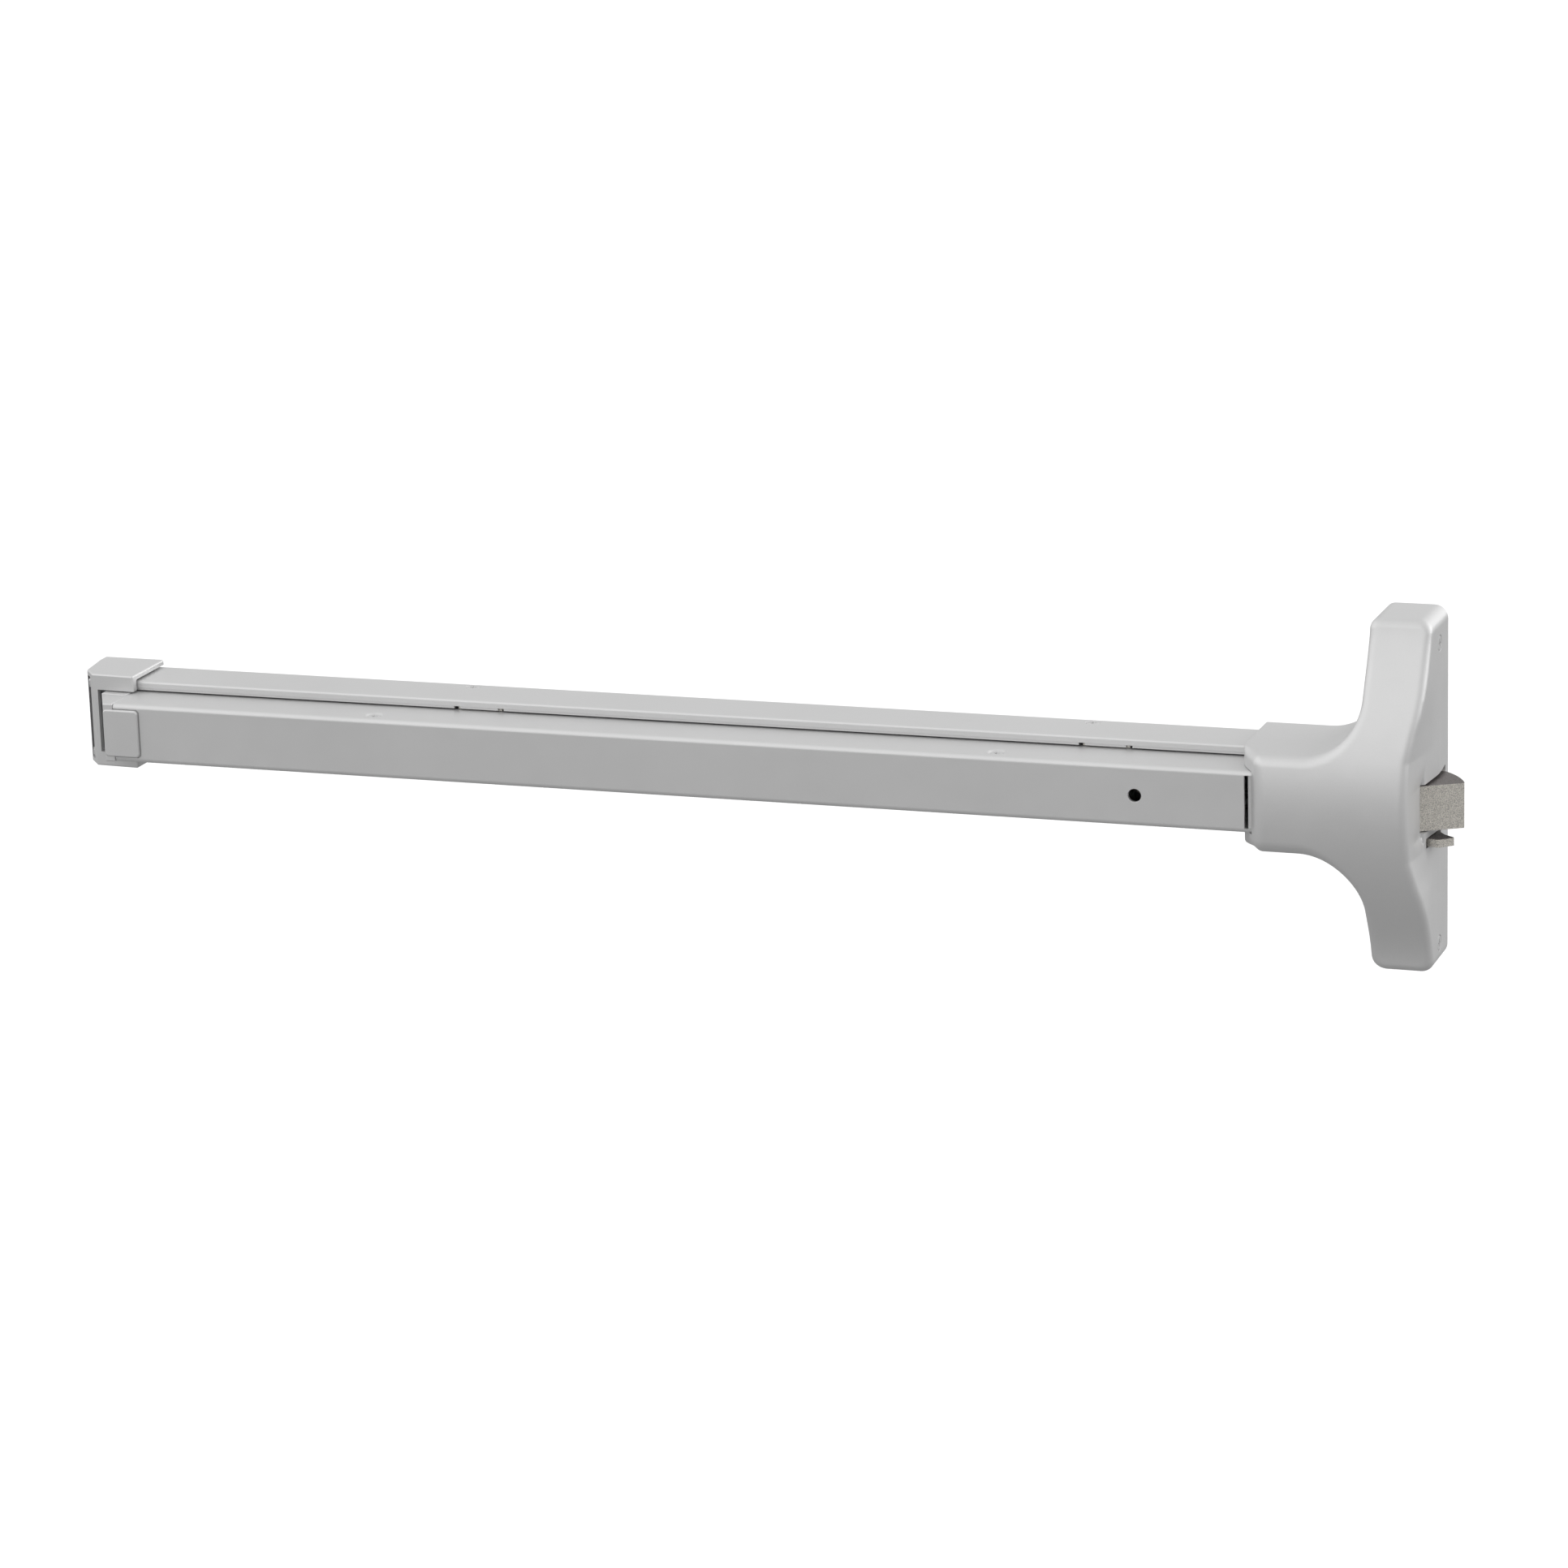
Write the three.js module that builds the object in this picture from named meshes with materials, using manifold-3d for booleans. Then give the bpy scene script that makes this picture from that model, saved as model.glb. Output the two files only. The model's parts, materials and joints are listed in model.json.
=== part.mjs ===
// Panic exit bar, touch-bar type with a rim latch, for a door 36 inches wide.
// Units are millimetres. The door's inside face is the plane y = 0 and +y goes into the door, so the
// bar stands out towards -y. +x runs towards the lock edge of the door and +z is up. The origin is on
// the door's face, on the centre line of the bar, in the middle of the lock head.
import * as THREE from "three";
import { mergeVertices } from "three/addons/utils/BufferGeometryUtils.js";
import Module from "manifold-3d";

const wasm = await Module();
wasm.setup();

// ---------------------------------------------------------------- driving dimensions
const GAP = 0.3; // clearance between neighbours that touch on the real object
const PRESS = 15; // how far the push bar goes in

// rail: a channel that lies on the door, open to the front between two lips
const RAIL = { left: -855, right: -72, half: 25.6, depth: 39.1, wall: 2.4, lip: 19.2 };

// push bar: a narrower channel that slides into the rail
const BAR = { left: -836, right: -70, half: 18.9, front: -72.4, back: -30, wall: 2.2, round: 3 };
const BAR_FACE_RIGHT = -85.7; // where the bar's face stops, short of the head
const BAR_MITRE = { depth: -46, run: 12.9 }; // the slanted cut at the bar's left end
const KEY_HOLE = { x: -153.1, radius: 4 };

// moulded end piece of the push bar, with a raised face and a mitred end
const PAD = { left: -842, right: -805.2, faceLeft: -829.3, front: -74.2, half: 15.3, corner: 2.5 };
const PAD_STEM = { left: 14, inset: 2.1, half: 14, depth: 12 }; // goes through the window in the bar's face

// end cap and its bracket, at the hinge side
const CAP = { left: -862.2, right: -820.8, half: 30.2, depth: 45.6, wall: 3.5 };
const CAP_SLOT = { left: -845, bottom: -20.9, top: 19.5 }; // what the bar comes through
const CAP_SCREW = { y: -16, z: 12, top: 5 }; // top: height of its face in its own frame
const END_BRACKET = { thick: 2.6, right: -795, half: 22, front: -30 };

// head cover, T-shaped from the front, and the plate under it
const HEAD = { right: 20, wingLeft: -17.5, half: 108, corner: 8, wall: 2.8 };
const HEAD_DEPTH = { middle: 82, tip: 42.5 };
// control points, as z and depth, of the front's sweep from each wing's tip to the middle
const SWEEP_BACK = { upper: [[80, 55], [52, 81]], lower: [[-80, 43.5], [-54, 81]] };
// past these depths the boss's left end and the cover's right side slant in towards the front
const SLANT = { left: 51, right: 56, lean: 0.37, corner: 9 };
const BOSS = { left: -91, half: 30.5, sweep: 31.5 };
const PLATE = { thick: 4, armHalf: 22 };
const COVER_SCREW = { y: -22, upper: 90.2, lower: -93.6 };
const TAB = { thick: 3, front: -30, half: 8 }; // the plate's tabs, which the cover screws go into
const SPLICE = { x: -96, z: 12 }; // screws that hold the rail's end to the head's plate
const DOOR_HOLE = { radius: 2.8, railX: -815, plateZ: 66 }; // for the screws that go into the door

// the latch's way out of the cover, with a slanted recess in front of it for the strike's lip
const RECESS = { front: -71.5, back: -49, floor: 14.3, bottom: -31, top: 10.5 };

// latch bolt and deadlatch, both on one vertical pin
const LATCH_PIN = { x: 4, y: -46, radius: 3 };
const LATCH = { top: 9, bottom: -18.4, hub: 5.6 };
const DEADLATCH = { top: -23.6, bottom: -28.4 };
const LATCH_LINK = { reach: 16.2, halfSwing: 21.75 }; // link pin's radius, and half the swing in degrees
const LATCH_TIP = { x: 37.2, y: -33.2 };
const SHELF = { upper: [14, 17, 14, 36], lower: [-36, -33, -58, -33] }; // z of each bracket's shelf, flange

// bell cranks: the push bar turns them and they pull the rod
const CRANK = { y: -20, barArm: 30, rodArm: 24, thick: 4, width: 12, pinRadius: 3, endPinRadius: 2.5 };
const HALF_SWING = Math.asin(PRESS / 2 / CRANK.barArm);
const ROD = { left: -636, right: -40.3, y0: -51, y1: -37, z0: 10.2, z1: 12.8 };
const UNIT_X = { left: -617.7, right: -211.9 }; // the two bell cranks' pivots
const LINK_SCREW = { rod: -47, retractor: -33, y: -44, hole: 2.1 };
// screws into the bar and into the rail, placed from the crank's pivot
const BAR_SCREW = { x: -29.5, y: -61.5, head: 4, shank: 1.8, dimple: 6.2, sunk: 0.7 };
const RAIL_SCREW = { x: 14.6, y: -5.8, head: 4.5, shank: 2.2 };
const EAR = { z0: 7.5, z1: 10, half: 8 }; // the bracket's ears, which carry the pivot pin
const PLATES = { z0: 5, z1: 7.5 }; // the carrier's two plates, above and below the crank

// hook that holds the bar in
const HOOK = { y0: -38, y1: -35, reach: 13.5 };
const CAM_SHAFT = 6; // radius

// ---------------------------------------------------------------- finishes
const FINISH = {
  paint: { color: 0xb4b4b4, roughness: 0.45, metalness: 0.25 },
  castSteel: { color: 0xa8a298, roughness: 0.6, metalness: 0.75 },
  zinc: { color: 0xb9bcc0, roughness: 0.35, metalness: 0.85 },
  spring: { color: 0x8a8d92, roughness: 0.3, metalness: 0.9 },
  nylon: { color: 0xd8d6cf, roughness: 0.55, metalness: 0 },
  rubber: { color: 0x2a2a2b, roughness: 0.85, metalness: 0 },
};

// ---------------------------------------------------------------- solids from geometry
const AXES = {
  // columns: where a shape's x, its y and the extrusion's direction go
  x: [new THREE.Vector3(0, 1, 0), new THREE.Vector3(0, 0, 1), new THREE.Vector3(1, 0, 0)],
  y: [new THREE.Vector3(1, 0, 0), new THREE.Vector3(0, 0, 1), new THREE.Vector3(0, -1, 0)],
  z: [new THREE.Vector3(1, 0, 0), new THREE.Vector3(0, 1, 0), new THREE.Vector3(0, 0, 1)],
};

function solidOf(geometry) {
  const bare = geometry.clone();
  bare.deleteAttribute("normal");
  bare.deleteAttribute("uv");
  const merged = mergeVertices(bare, 1e-4);
  const triVerts = new Uint32Array(merged.index.array);
  const vertProperties = new Float32Array(merged.attributes.position.array);
  return new wasm.Manifold(new wasm.Mesh({ numProp: 3, vertProperties, triVerts }));
}

function geometryOf(solid) {
  const mesh = solid.getMesh();
  const geometry = new THREE.BufferGeometry();
  geometry.setAttribute("position", new THREE.BufferAttribute(new Float32Array(mesh.vertProperties), 3));
  geometry.setIndex(new THREE.BufferAttribute(new Uint32Array(mesh.triVerts), 1));
  geometry.computeVertexNormals();
  return geometry;
}

// An outline pushed along an axis: along x it is drawn in (y, z), along y in (x, z), along z in (x, y).
function prism(axis, outline, from, to, curveSegments = 8) {
  const points = (list) => list.map(([a, b]) => new THREE.Vector2(a, b));
  const shape = outline instanceof THREE.Shape ? outline : new THREE.Shape(points(outline));
  const depth = to - from;
  const geometry = new THREE.ExtrudeGeometry(shape, { depth, bevelEnabled: false, curveSegments });
  geometry.applyMatrix4(new THREE.Matrix4().makeBasis(...AXES[axis]));
  const start = axis === "y" ? to : from; // the y extrusion runs backwards
  geometry.translate(axis === "x" ? start : 0, axis === "y" ? start : 0, axis === "z" ? start : 0);
  return solidOf(geometry);
}

// A box between its low and high corners.
function block(x0, x1, y0, y1, z0, z1) {
  const geometry = new THREE.BoxGeometry(x1 - x0, y1 - y0, z1 - z0);
  geometry.translate((x0 + x1) / 2, (y0 + y1) / 2, (z0 + z1) / 2);
  return solidOf(geometry);
}

// A body of revolution about an axis through the point at: profile is [radius, distance along the axis].
function turned(axis, at, profile, segments = 14) {
  const points = profile.map(([r, along]) => new THREE.Vector2(r, along));
  const geometry = new THREE.LatheGeometry(points, segments);
  if (axis === "x") geometry.rotateZ(-Math.PI / 2);
  if (axis === "z") geometry.rotateX(Math.PI / 2);
  geometry.translate(...at);
  return solidOf(geometry);
}

function cylinder(axis, at, radius, from, to, segments = 16) {
  return turned(axis, at, [[0, from], [radius, from], [radius, to], [0, to]], segments);
}

const union = (first, ...rest) => rest.reduce((sum, solid) => sum.add(solid), first);
const cut = (body, ...tools) => tools.reduce((left, tool) => left.subtract(tool), body);

// The same box above and below the middle: near and far are its distances from z = 0.
const blocks = (x0, x1, y0, y1, near, far) =>
  [block(x0, x1, y0, y1, near, far), block(x0, x1, y0, y1, -far, -near)];

// A slot's outline in (x, y), with round ends of radius r at a and b.
function slotShape(ax, ay, bx, by, r) {
  const along = Math.atan2(by - ay, bx - ax);
  const shape = new THREE.Shape();
  shape.absarc(bx, by, r, along - Math.PI / 2, along + Math.PI / 2, false);
  shape.absarc(ax, ay, r, along + Math.PI / 2, along + (3 * Math.PI) / 2, false);
  shape.closePath();
  return shape;
}

// ---------------------------------------------------------------- naming and placing
function piece(name, solid, finish) {
  const mesh = new THREE.Mesh(geometryOf(solid), new THREE.MeshStandardMaterial(FINISH[finish]));
  mesh.name = name;
  return mesh;
}

const SCREW_RIM = 0.3; // straight edge of a flat head, above its cone

// A flat-head screw along z, its head's face at the height top and its point at the height tip.
function flatScrew(headRadius, shankRadius, top, tip) {
  const slope = headRadius - shankRadius;
  const under = top - SCREW_RIM;
  return turned("z", [0, 0, 0], [
    [0, tip], [shankRadius, tip], [shankRadius, under - slope], [headRadius, under], [headRadius, top],
    [0, top],
  ]);
}

// The hole that such a screw sits in, cut along z from above the surface at the height top.
function screwHole(headRadius, shankRadius, top, tip) {
  const slope = headRadius - shankRadius;
  const under = top - 2 * SCREW_RIM;
  return turned("z", [0, 0, 0], [
    [0, tip], [shankRadius, tip], [shankRadius, under - slope], [headRadius, under], [headRadius, top + 1],
    [0, top + 1],
  ]);
}

const upAndDown = (solid, x, y) => [
  solid.translate([x, y, 0]),
  solid.rotate([180, 0, 0]).translate([x, y, 0]),
];

// A pin along z with a formed head at each end that is given a height over zero.
function headedPin(radius, headRadius, z0, z1, lowHead, highHead) {
  const profile = [[0, z0 - lowHead]];
  if (lowHead) profile.push([headRadius, z0 - lowHead], [headRadius, z0]);
  profile.push([radius, z0], [radius, z1]);
  if (highHead) profile.push([headRadius, z1], [headRadius, z1 + highHead]);
  profile.push([0, z1 + highHead]);
  return turned("z", [0, 0, 0], profile);
}

// A torsion spring's wire: turns about z, with a straight leg at each end.
class TorsionWire extends THREE.Curve {
  constructor(radius, z0, z1, turns, leg) {
    super();
    Object.assign(this, { radius, z0, z1, turns, leg });
  }
  getPoint(t, target = new THREE.Vector3()) {
    const coil = this.turns * 2 * Math.PI * this.radius;
    const along = t * (coil + 2 * this.leg) - this.leg; // distance from where the coil starts
    const onCoil = THREE.MathUtils.clamp(along, 0, coil);
    const angle = onCoil / this.radius;
    const z = THREE.MathUtils.lerp(this.z0, this.z1, onCoil / coil);
    const straight = along - onCoil;
    return target.set(
      this.radius * Math.cos(angle) - straight * Math.sin(angle),
      this.radius * Math.sin(angle) + straight * Math.cos(angle),
      z,
    );
  }
}

function torsionSpring(radius, z0, z1, turns, leg, wire = 0.65) {
  const section = new THREE.Shape().absarc(0, 0, wire, 0, 2 * Math.PI, false);
  const extrudePath = new TorsionWire(radius, z0, z1, turns, leg);
  const steps = turns * 12 + 4;
  const options = { steps, extrudePath, curveSegments: 3, bevelEnabled: false };
  return solidOf(new THREE.ExtrudeGeometry(section, options));
}

// ---------------------------------------------------------------- rail
function railSolid() {
  const { left, right, half, depth, wall, lip } = RAIL;
  const outline = [
    [0, -half], [0, half], [-depth, half], [-depth, lip], [wall - depth, lip], [wall - depth, half - wall],
    [-wall, half - wall], [-wall, wall - half], [wall - depth, wall - half], [wall - depth, -lip],
    [-depth, -lip], [-depth, -half],
  ];
  const body = prism("x", outline, left, right);
  const hole = screwHole(RAIL_SCREW.head + GAP, RAIL_SCREW.shank + GAP, half, half - 6);
  const screws = Object.values(UNIT_X).flatMap((x) => upAndDown(hole, x + RAIL_SCREW.x, RAIL_SCREW.y));
  const splice = [-1, 1].map((side) => cylinder("y", [SPLICE.x, 0, side * SPLICE.z], 2.3, -depth / 2, 1));
  return cut(body, ...screws, ...splice, doorHole(DOOR_HOLE.railX, 0));
}

const doorHole = (x, z) => cylinder("y", [x, 0, z], DOOR_HOLE.radius, -12, 1);

// ---------------------------------------------------------------- end cap and bracket
function endCapSolid() {
  const { left, right, half, depth, wall } = CAP;
  const plan = [[left, 0], [left, -34], [left + 8.6, -42.6], [right, -depth], [right, 0]];
  const inner = RAIL.half + GAP;
  const body = prism("z", plan, -half, half);
  const bore = block(left + wall, right + 1, -RAIL.depth - GAP, 1, -inner, inner);
  const slot = block(CAP_SLOT.left, right + 1, -depth - 1, -RAIL.depth, CAP_SLOT.bottom, CAP_SLOT.top);
  const screws = capScrews(screwHole(3.4, 2, CAP_SCREW.top, CAP_SCREW.top - 9));
  return cut(body, bore, slot, ...screws);
}

// A solid drawn along z, laid on the cap's end wall above and below the middle.
function capScrews(solid) {
  const { y, z, top } = CAP_SCREW;
  return [z, -z].map((height) => solid.rotate([0, -90, 0]).translate([CAP.left + top, y, height]));
}

function endBracketSolid() {
  const wallLeft = CAP.left + CAP.wall + GAP;
  const floor = -RAIL.wall - GAP;
  const { thick, right, half, front } = END_BRACKET;
  const upright = block(wallLeft, wallLeft + thick, front, -GAP, -half, half);
  const base = block(wallLeft, right, floor - thick, floor, 2 - half, half - 2);
  const { y, z } = CAP_SCREW;
  const screws = [z, -z].map((height) => cylinder("x", [0, y, height], 2, wallLeft - 1, wallLeft + 4));
  return cut(union(upright, base), ...screws, doorHole(DOOR_HOLE.railX, 0));
}

// ---------------------------------------------------------------- push bar
function barSolid() {
  const { left, right, half, front, back, wall, round } = BAR;
  const outside = new THREE.Shape();
  outside.moveTo(back, -half);
  outside.lineTo(front + round, -half);
  outside.absarc(front + round, round - half, round, (3 * Math.PI) / 2, Math.PI, true);
  outside.lineTo(front, half - round);
  outside.absarc(front + round, half - round, round, Math.PI, Math.PI / 2, true);
  outside.lineTo(back, half);
  outside.closePath();
  const inside = block(left - 10, right + 1, front + wall, back + 1, wall - half, half - wall);
  const flangeEnd = block(BAR_FACE_RIGHT, right + 1, front - 1, front + 6, wall - half, half - wall);
  const mitre = prism("z", [
    [left - 1, 0], [left - 1, front - 1], [left + BAR_MITRE.run, front - 1], [left, BAR_MITRE.depth],
    [left, 0],
  ], -half - 1, half + 1);
  const window = block(left - 1, PAD.right - PAD_STEM.inset + GAP, front - 1, front + wall + 1,
    -PAD_STEM.half - GAP, PAD_STEM.half + GAP);
  const keyHole = cylinder("y", [KEY_HOLE.x, 0, 0], KEY_HOLE.radius, front - 5, front + 5, 28);
  const screwHoles = Object.values(UNIT_X).flatMap((x) =>
    upAndDown(barScrewHole(), x + BAR_SCREW.x, BAR_SCREW.y));
  return cut(prism("x", outside, left, right, 4), inside, flangeEnd, mitre, window, keyHole, ...screwHoles);
}

// A countersunk hole at the bottom of a shallow dimple.
function barScrewHole() {
  const { head, shank, dimple, sunk } = BAR_SCREW;
  const top = BAR.half;
  const hole = shank + GAP;
  const seat = head + GAP;
  const under = top - sunk - SCREW_RIM;
  return turned("z", [0, 0, 0], [
    [0, top - 5], [hole, top - 5], [hole, under - (seat - hole) * 0.6], [seat, under], [seat, top - sunk],
    [dimple, top], [dimple, top + 1], [0, top + 1],
  ]);
}

function barScrewSolid() {
  const { head, shank, sunk } = BAR_SCREW;
  const top = BAR.half - sunk;
  const under = top - SCREW_RIM;
  const tip = ROD.z1 + GAP;
  return turned("z", [0, 0, 0], [
    [0, tip], [shank, tip], [shank, under - (head - shank) * 0.6], [head, under], [head, top], [0, top],
  ]);
}

function padSolid() {
  const { left, right, faceLeft, front, half, corner: r } = PAD;
  const barFront = BAR.front;
  const face = new THREE.Shape();
  face.absarc(right - r, half - r, r, 0, Math.PI / 2, false);
  face.absarc(faceLeft + r, half - r, r, Math.PI / 2, Math.PI, false);
  face.absarc(faceLeft + r, r - half, r, Math.PI, (3 * Math.PI) / 2, false);
  face.absarc(right - r, r - half, r, (3 * Math.PI) / 2, 2 * Math.PI, false);
  face.closePath();
  const plate = prism("y", face, front, barFront - GAP, 4);
  const { left: stemLeft, inset, half: side, depth } = PAD_STEM;
  const stem = block(BAR.left + stemLeft, right - inset, barFront - 0.5, barFront + depth, -side, side);
  const shoulder = front + 1.2; // where the mitred end meets the raised face
  const end = prism("z", [
    [left, -31], [left, -48], [faceLeft, shoulder], [faceLeft + 5.4, shoulder],
    [BAR.left - GAP, BAR_MITRE.depth], [BAR.left - GAP, -31],
  ], -BAR.half, BAR.half);
  const inside = barFront + BAR.wall + GAP;
  const plug = prism("z", [
    [BAR.left - 1, -40], [BAR.left - 1, -45], [BAR.left + 10.6, inside], [BAR.left + 26, inside],
    [BAR.left + 26, -58], [BAR.left + 12, -40],
  ], BAR.wall + GAP - BAR.half, BAR.half - BAR.wall - GAP);
  return union(plate, stem, end, plug);
}

// ---------------------------------------------------------------- head
// The cover's outline from the front, shrunk by inset on every side but the door's.
function headOutline(inset) {
  const { right, wingLeft, half, corner } = HEAD;
  const r = corner - inset;
  const sweep = BOSS.sweep + inset;
  const sweepX = wingLeft - BOSS.sweep;
  const sweepZ = BOSS.half + BOSS.sweep;
  const top = half - inset;
  const shape = new THREE.Shape();
  shape.absarc(right - inset - r, top - r, r, 0, Math.PI / 2, false);
  shape.absarc(wingLeft + inset + r, top - r, r, Math.PI / 2, Math.PI, false);
  shape.absarc(sweepX, sweepZ, sweep, 0, -Math.PI / 2, true);
  shape.lineTo(BOSS.left + inset, BOSS.half - inset);
  shape.lineTo(BOSS.left + inset, inset - BOSS.half);
  shape.absarc(sweepX, -sweepZ, sweep, Math.PI / 2, 0, true);
  shape.absarc(wingLeft + inset + r, r - top, r, Math.PI, (3 * Math.PI) / 2, false);
  shape.absarc(right - inset - r, r - top, r, (3 * Math.PI) / 2, 2 * Math.PI, false);
  shape.closePath();
  return shape;
}

// The cover from the side, in (y, z): deep in the middle, and swept back to shallow wings.
function headProfile(inset, back) {
  const { half } = HEAD;
  const tip = inset - HEAD_DEPTH.tip;
  const middle = inset - HEAD_DEPTH.middle;
  const control = ([z, depth]) => [inset - depth, z];
  const upper = SWEEP_BACK.upper.flatMap(control);
  const lower = SWEEP_BACK.lower.toReversed().flatMap(control);
  const shape = new THREE.Shape();
  shape.moveTo(back, -half - 1);
  shape.lineTo(back, half + 1);
  shape.lineTo(tip, half + 1);
  shape.lineTo(tip, half);
  shape.bezierCurveTo(...upper, middle, 0);
  shape.bezierCurveTo(...lower, tip, -half);
  shape.lineTo(tip, -half - 1);
  shape.closePath();
  return shape;
}

// The cover from above, in (x, y): both ends slant in towards the front, and the boss's corner is round.
function headPlan(inset) {
  const front = inset - HEAD_DEPTH.middle;
  const left = BOSS.left + inset;
  const right = HEAD.right - inset;
  const { lean, corner } = SLANT;
  const turn = front + corner; // where the slanted end starts to turn to the front
  const turnX = left - (turn + SLANT.left) * lean;
  const shape = new THREE.Shape();
  shape.moveTo(left, 2);
  shape.lineTo(left, -SLANT.left);
  shape.lineTo(turnX, turn);
  shape.quadraticCurveTo(turnX + corner * lean, front, turnX + corner, front);
  shape.lineTo(turnX + corner, front - 1);
  shape.lineTo(right + (front - 1 + SLANT.right) * lean, front - 1);
  shape.lineTo(right + 1, 1 / lean - SLANT.right);
  shape.lineTo(right + 1, 2);
  shape.closePath();
  return shape;
}

function headForm(inset, back) {
  const far = HEAD_DEPTH.middle + 2;
  return prism("y", headOutline(inset), -far, back, 7)
    .intersect(prism("x", headProfile(inset, back), BOSS.left - 1, HEAD.right + 1, 10))
    .intersect(prism("z", headPlan(inset), -HEAD.half - 1, HEAD.half + 1, 5));
}

// What is cut from the cover for the rail, the push bar, the latch and the deadlatch.
function headWays() {
  const { right, wall } = HEAD;
  const left = BOSS.left - 1;
  const rail = RAIL.half + GAP;
  const bar = BAR.half + 0.4;
  const margin = 0.6; // round what moves
  return [
    block(left, BOSS.left + wall + 6, -RAIL.depth - GAP, 1, -rail, rail),
    block(left, BAR.right - 4, BAR.front - margin, -RAIL.depth, -bar, bar),
    block(right - 10, right + 1, RECESS.back - 0.5, -8, LATCH.bottom - margin, LATCH.top + margin),
    block(right - 10, right + 1, -46, -19, DEADLATCH.bottom - margin, DEADLATCH.top + margin),
  ];
}

function headCoverSolid() {
  const { right, wall } = HEAD;
  const outer = headForm(0, 0);
  const shell = cut(outer, headForm(wall, 1));
  const { front, back, bottom, top } = RECESS;
  const backing = block(right - 9, right, front - 2, back, bottom - 3, top + 3).intersect(outer);
  const ramp = prism("z", [[right + 1, front - 3], [RECESS.floor, back], [right + 1, back]], bottom, top);
  const screws = coverScrews(() => screwHole(4.8, 2.5, 0, -9)).map(([, solid]) => solid);
  return cut(shell.add(backing), ramp, ...headWays(), ...screws);
}

// The four cover screws' places: a solid drawn with its face at z = 0 is turned to each side wall.
function coverScrews(make) {
  const sides = [["right", HEAD.right, 90], ["left", HEAD.wingLeft, -90]];
  return sides.flatMap(([side, x, turn]) =>
    ["upper", "lower"].map((level) => [
      `cover_screw_${side}_${level}`,
      make().rotate([0, turn, 0]).translate([x, COVER_SCREW.y, COVER_SCREW[level]]),
    ]));
}

function chassisSolid() {
  const { right, wingLeft, wall } = HEAD;
  const x1 = right - wall - GAP;
  const x0 = wingLeft + wall + GAP;
  const plateLeft = RAIL.right + GAP;
  const floor = -RAIL.wall - GAP;
  const wings = block(x0, x1, -PLATE.thick, 0, -HEAD.half, HEAD.half);
  const arm = block(plateLeft, x0 + 1, -PLATE.thick, 0, -PLATE.armHalf, PLATE.armHalf);
  const plate = prism("y", headOutline(wall + GAP), -PLATE.thick, 0, 6).intersect(wings.add(arm));
  const tongue = block(SPLICE.x - 9, plateLeft + 12, floor - 4, floor, -20, 20);
  const tabs = [COVER_SCREW.upper, COVER_SCREW.lower].flatMap((z) => [
    block(x1 - TAB.thick, x1, TAB.front, 1 - PLATE.thick, z - TAB.half, z + TAB.half),
    block(x0, x0 + TAB.thick, TAB.front, 1 - PLATE.thick, z - TAB.half, z + TAB.half),
  ]);
  const tabHoles = coverScrews(() => cylinder("z", [0, 0, 0], 2.5, -12, 1)).map(([, s]) => s);
  const splice = [-1, 1].map((side) => cylinder("y", [SPLICE.x, 0, side * SPLICE.z], 2.3, -12, 1));
  const body = union(plate, tongue, ...tabs);
  return cut(body, ...tabHoles, ...splice, doorHole(0, DOOR_HOLE.plateZ), doorHole(0, -DOOR_HOLE.plateZ));
}

// ---------------------------------------------------------------- latch
const { x: PX, y: PY } = LATCH_PIN;

// where the link pin sits at rest: half the swing short of straight behind the pivot
const LINK = {
  x: PX + LATCH_LINK.reach * Math.sin(THREE.MathUtils.degToRad(LATCH_LINK.halfSwing)),
  y: PY + LATCH_LINK.reach * Math.cos(THREE.MathUtils.degToRad(LATCH_LINK.halfSwing)),
};

function latchBoltSolid() {
  const { x: tipX, y: tipY } = LATCH_TIP;
  const reach = new THREE.Vector2(tipX - PX, tipY - PY);
  const face = reach.angle() - Math.asin(LATCH.hub / reach.length()) + Math.PI / 2; // square to the flat side
  const shape = new THREE.Shape();
  shape.moveTo(PX - LATCH.hub * Math.cos(face), PY - LATCH.hub * Math.sin(face));
  shape.lineTo(tipX, tipY);
  shape.lineTo(tipX - 0.3, tipY + 1.6);
  shape.quadraticCurveTo(31.6, -18, 21.2, -10);
  shape.lineTo(15, -8.9);
  shape.lineTo(PX - LATCH.hub, PY);
  shape.closePath();
  const wedge = prism("z", shape, LATCH.bottom, LATCH.top);
  const hub = cylinder("z", [PX, PY, 0], LATCH.hub, LATCH.bottom, LATCH.top, 28);
  const bore = cylinder("z", [PX, PY, 0], LATCH_PIN.radius + GAP, LATCH.bottom - 1, LATCH.top + 1);
  const link = cylinder("z", [LINK.x, LINK.y, 0], 2.8, -2, LATCH.top + 1);
  return cut(wedge.add(hub), bore, link);
}

function deadlatchSolid() {
  const { bottom, top } = DEADLATCH;
  const finger = [
    [PX, PY - 3], [18.1, -43.2], [23.8, -44.2], [32.1, -37.7], [31.4, -36.2], [25.2, -31.8], [21, -26],
    [18.9, -26], [12, -34], [PX, PY + LATCH.hub - 0.4],
  ];
  const hub = cylinder("z", [PX, PY, 0], LATCH.hub, bottom, top, 24);
  const bore = cylinder("z", [PX, PY, 0], LATCH_PIN.radius + GAP, bottom - 1, top + 1);
  return cut(prism("z", finger, bottom, top).add(hub), bore);
}

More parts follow.
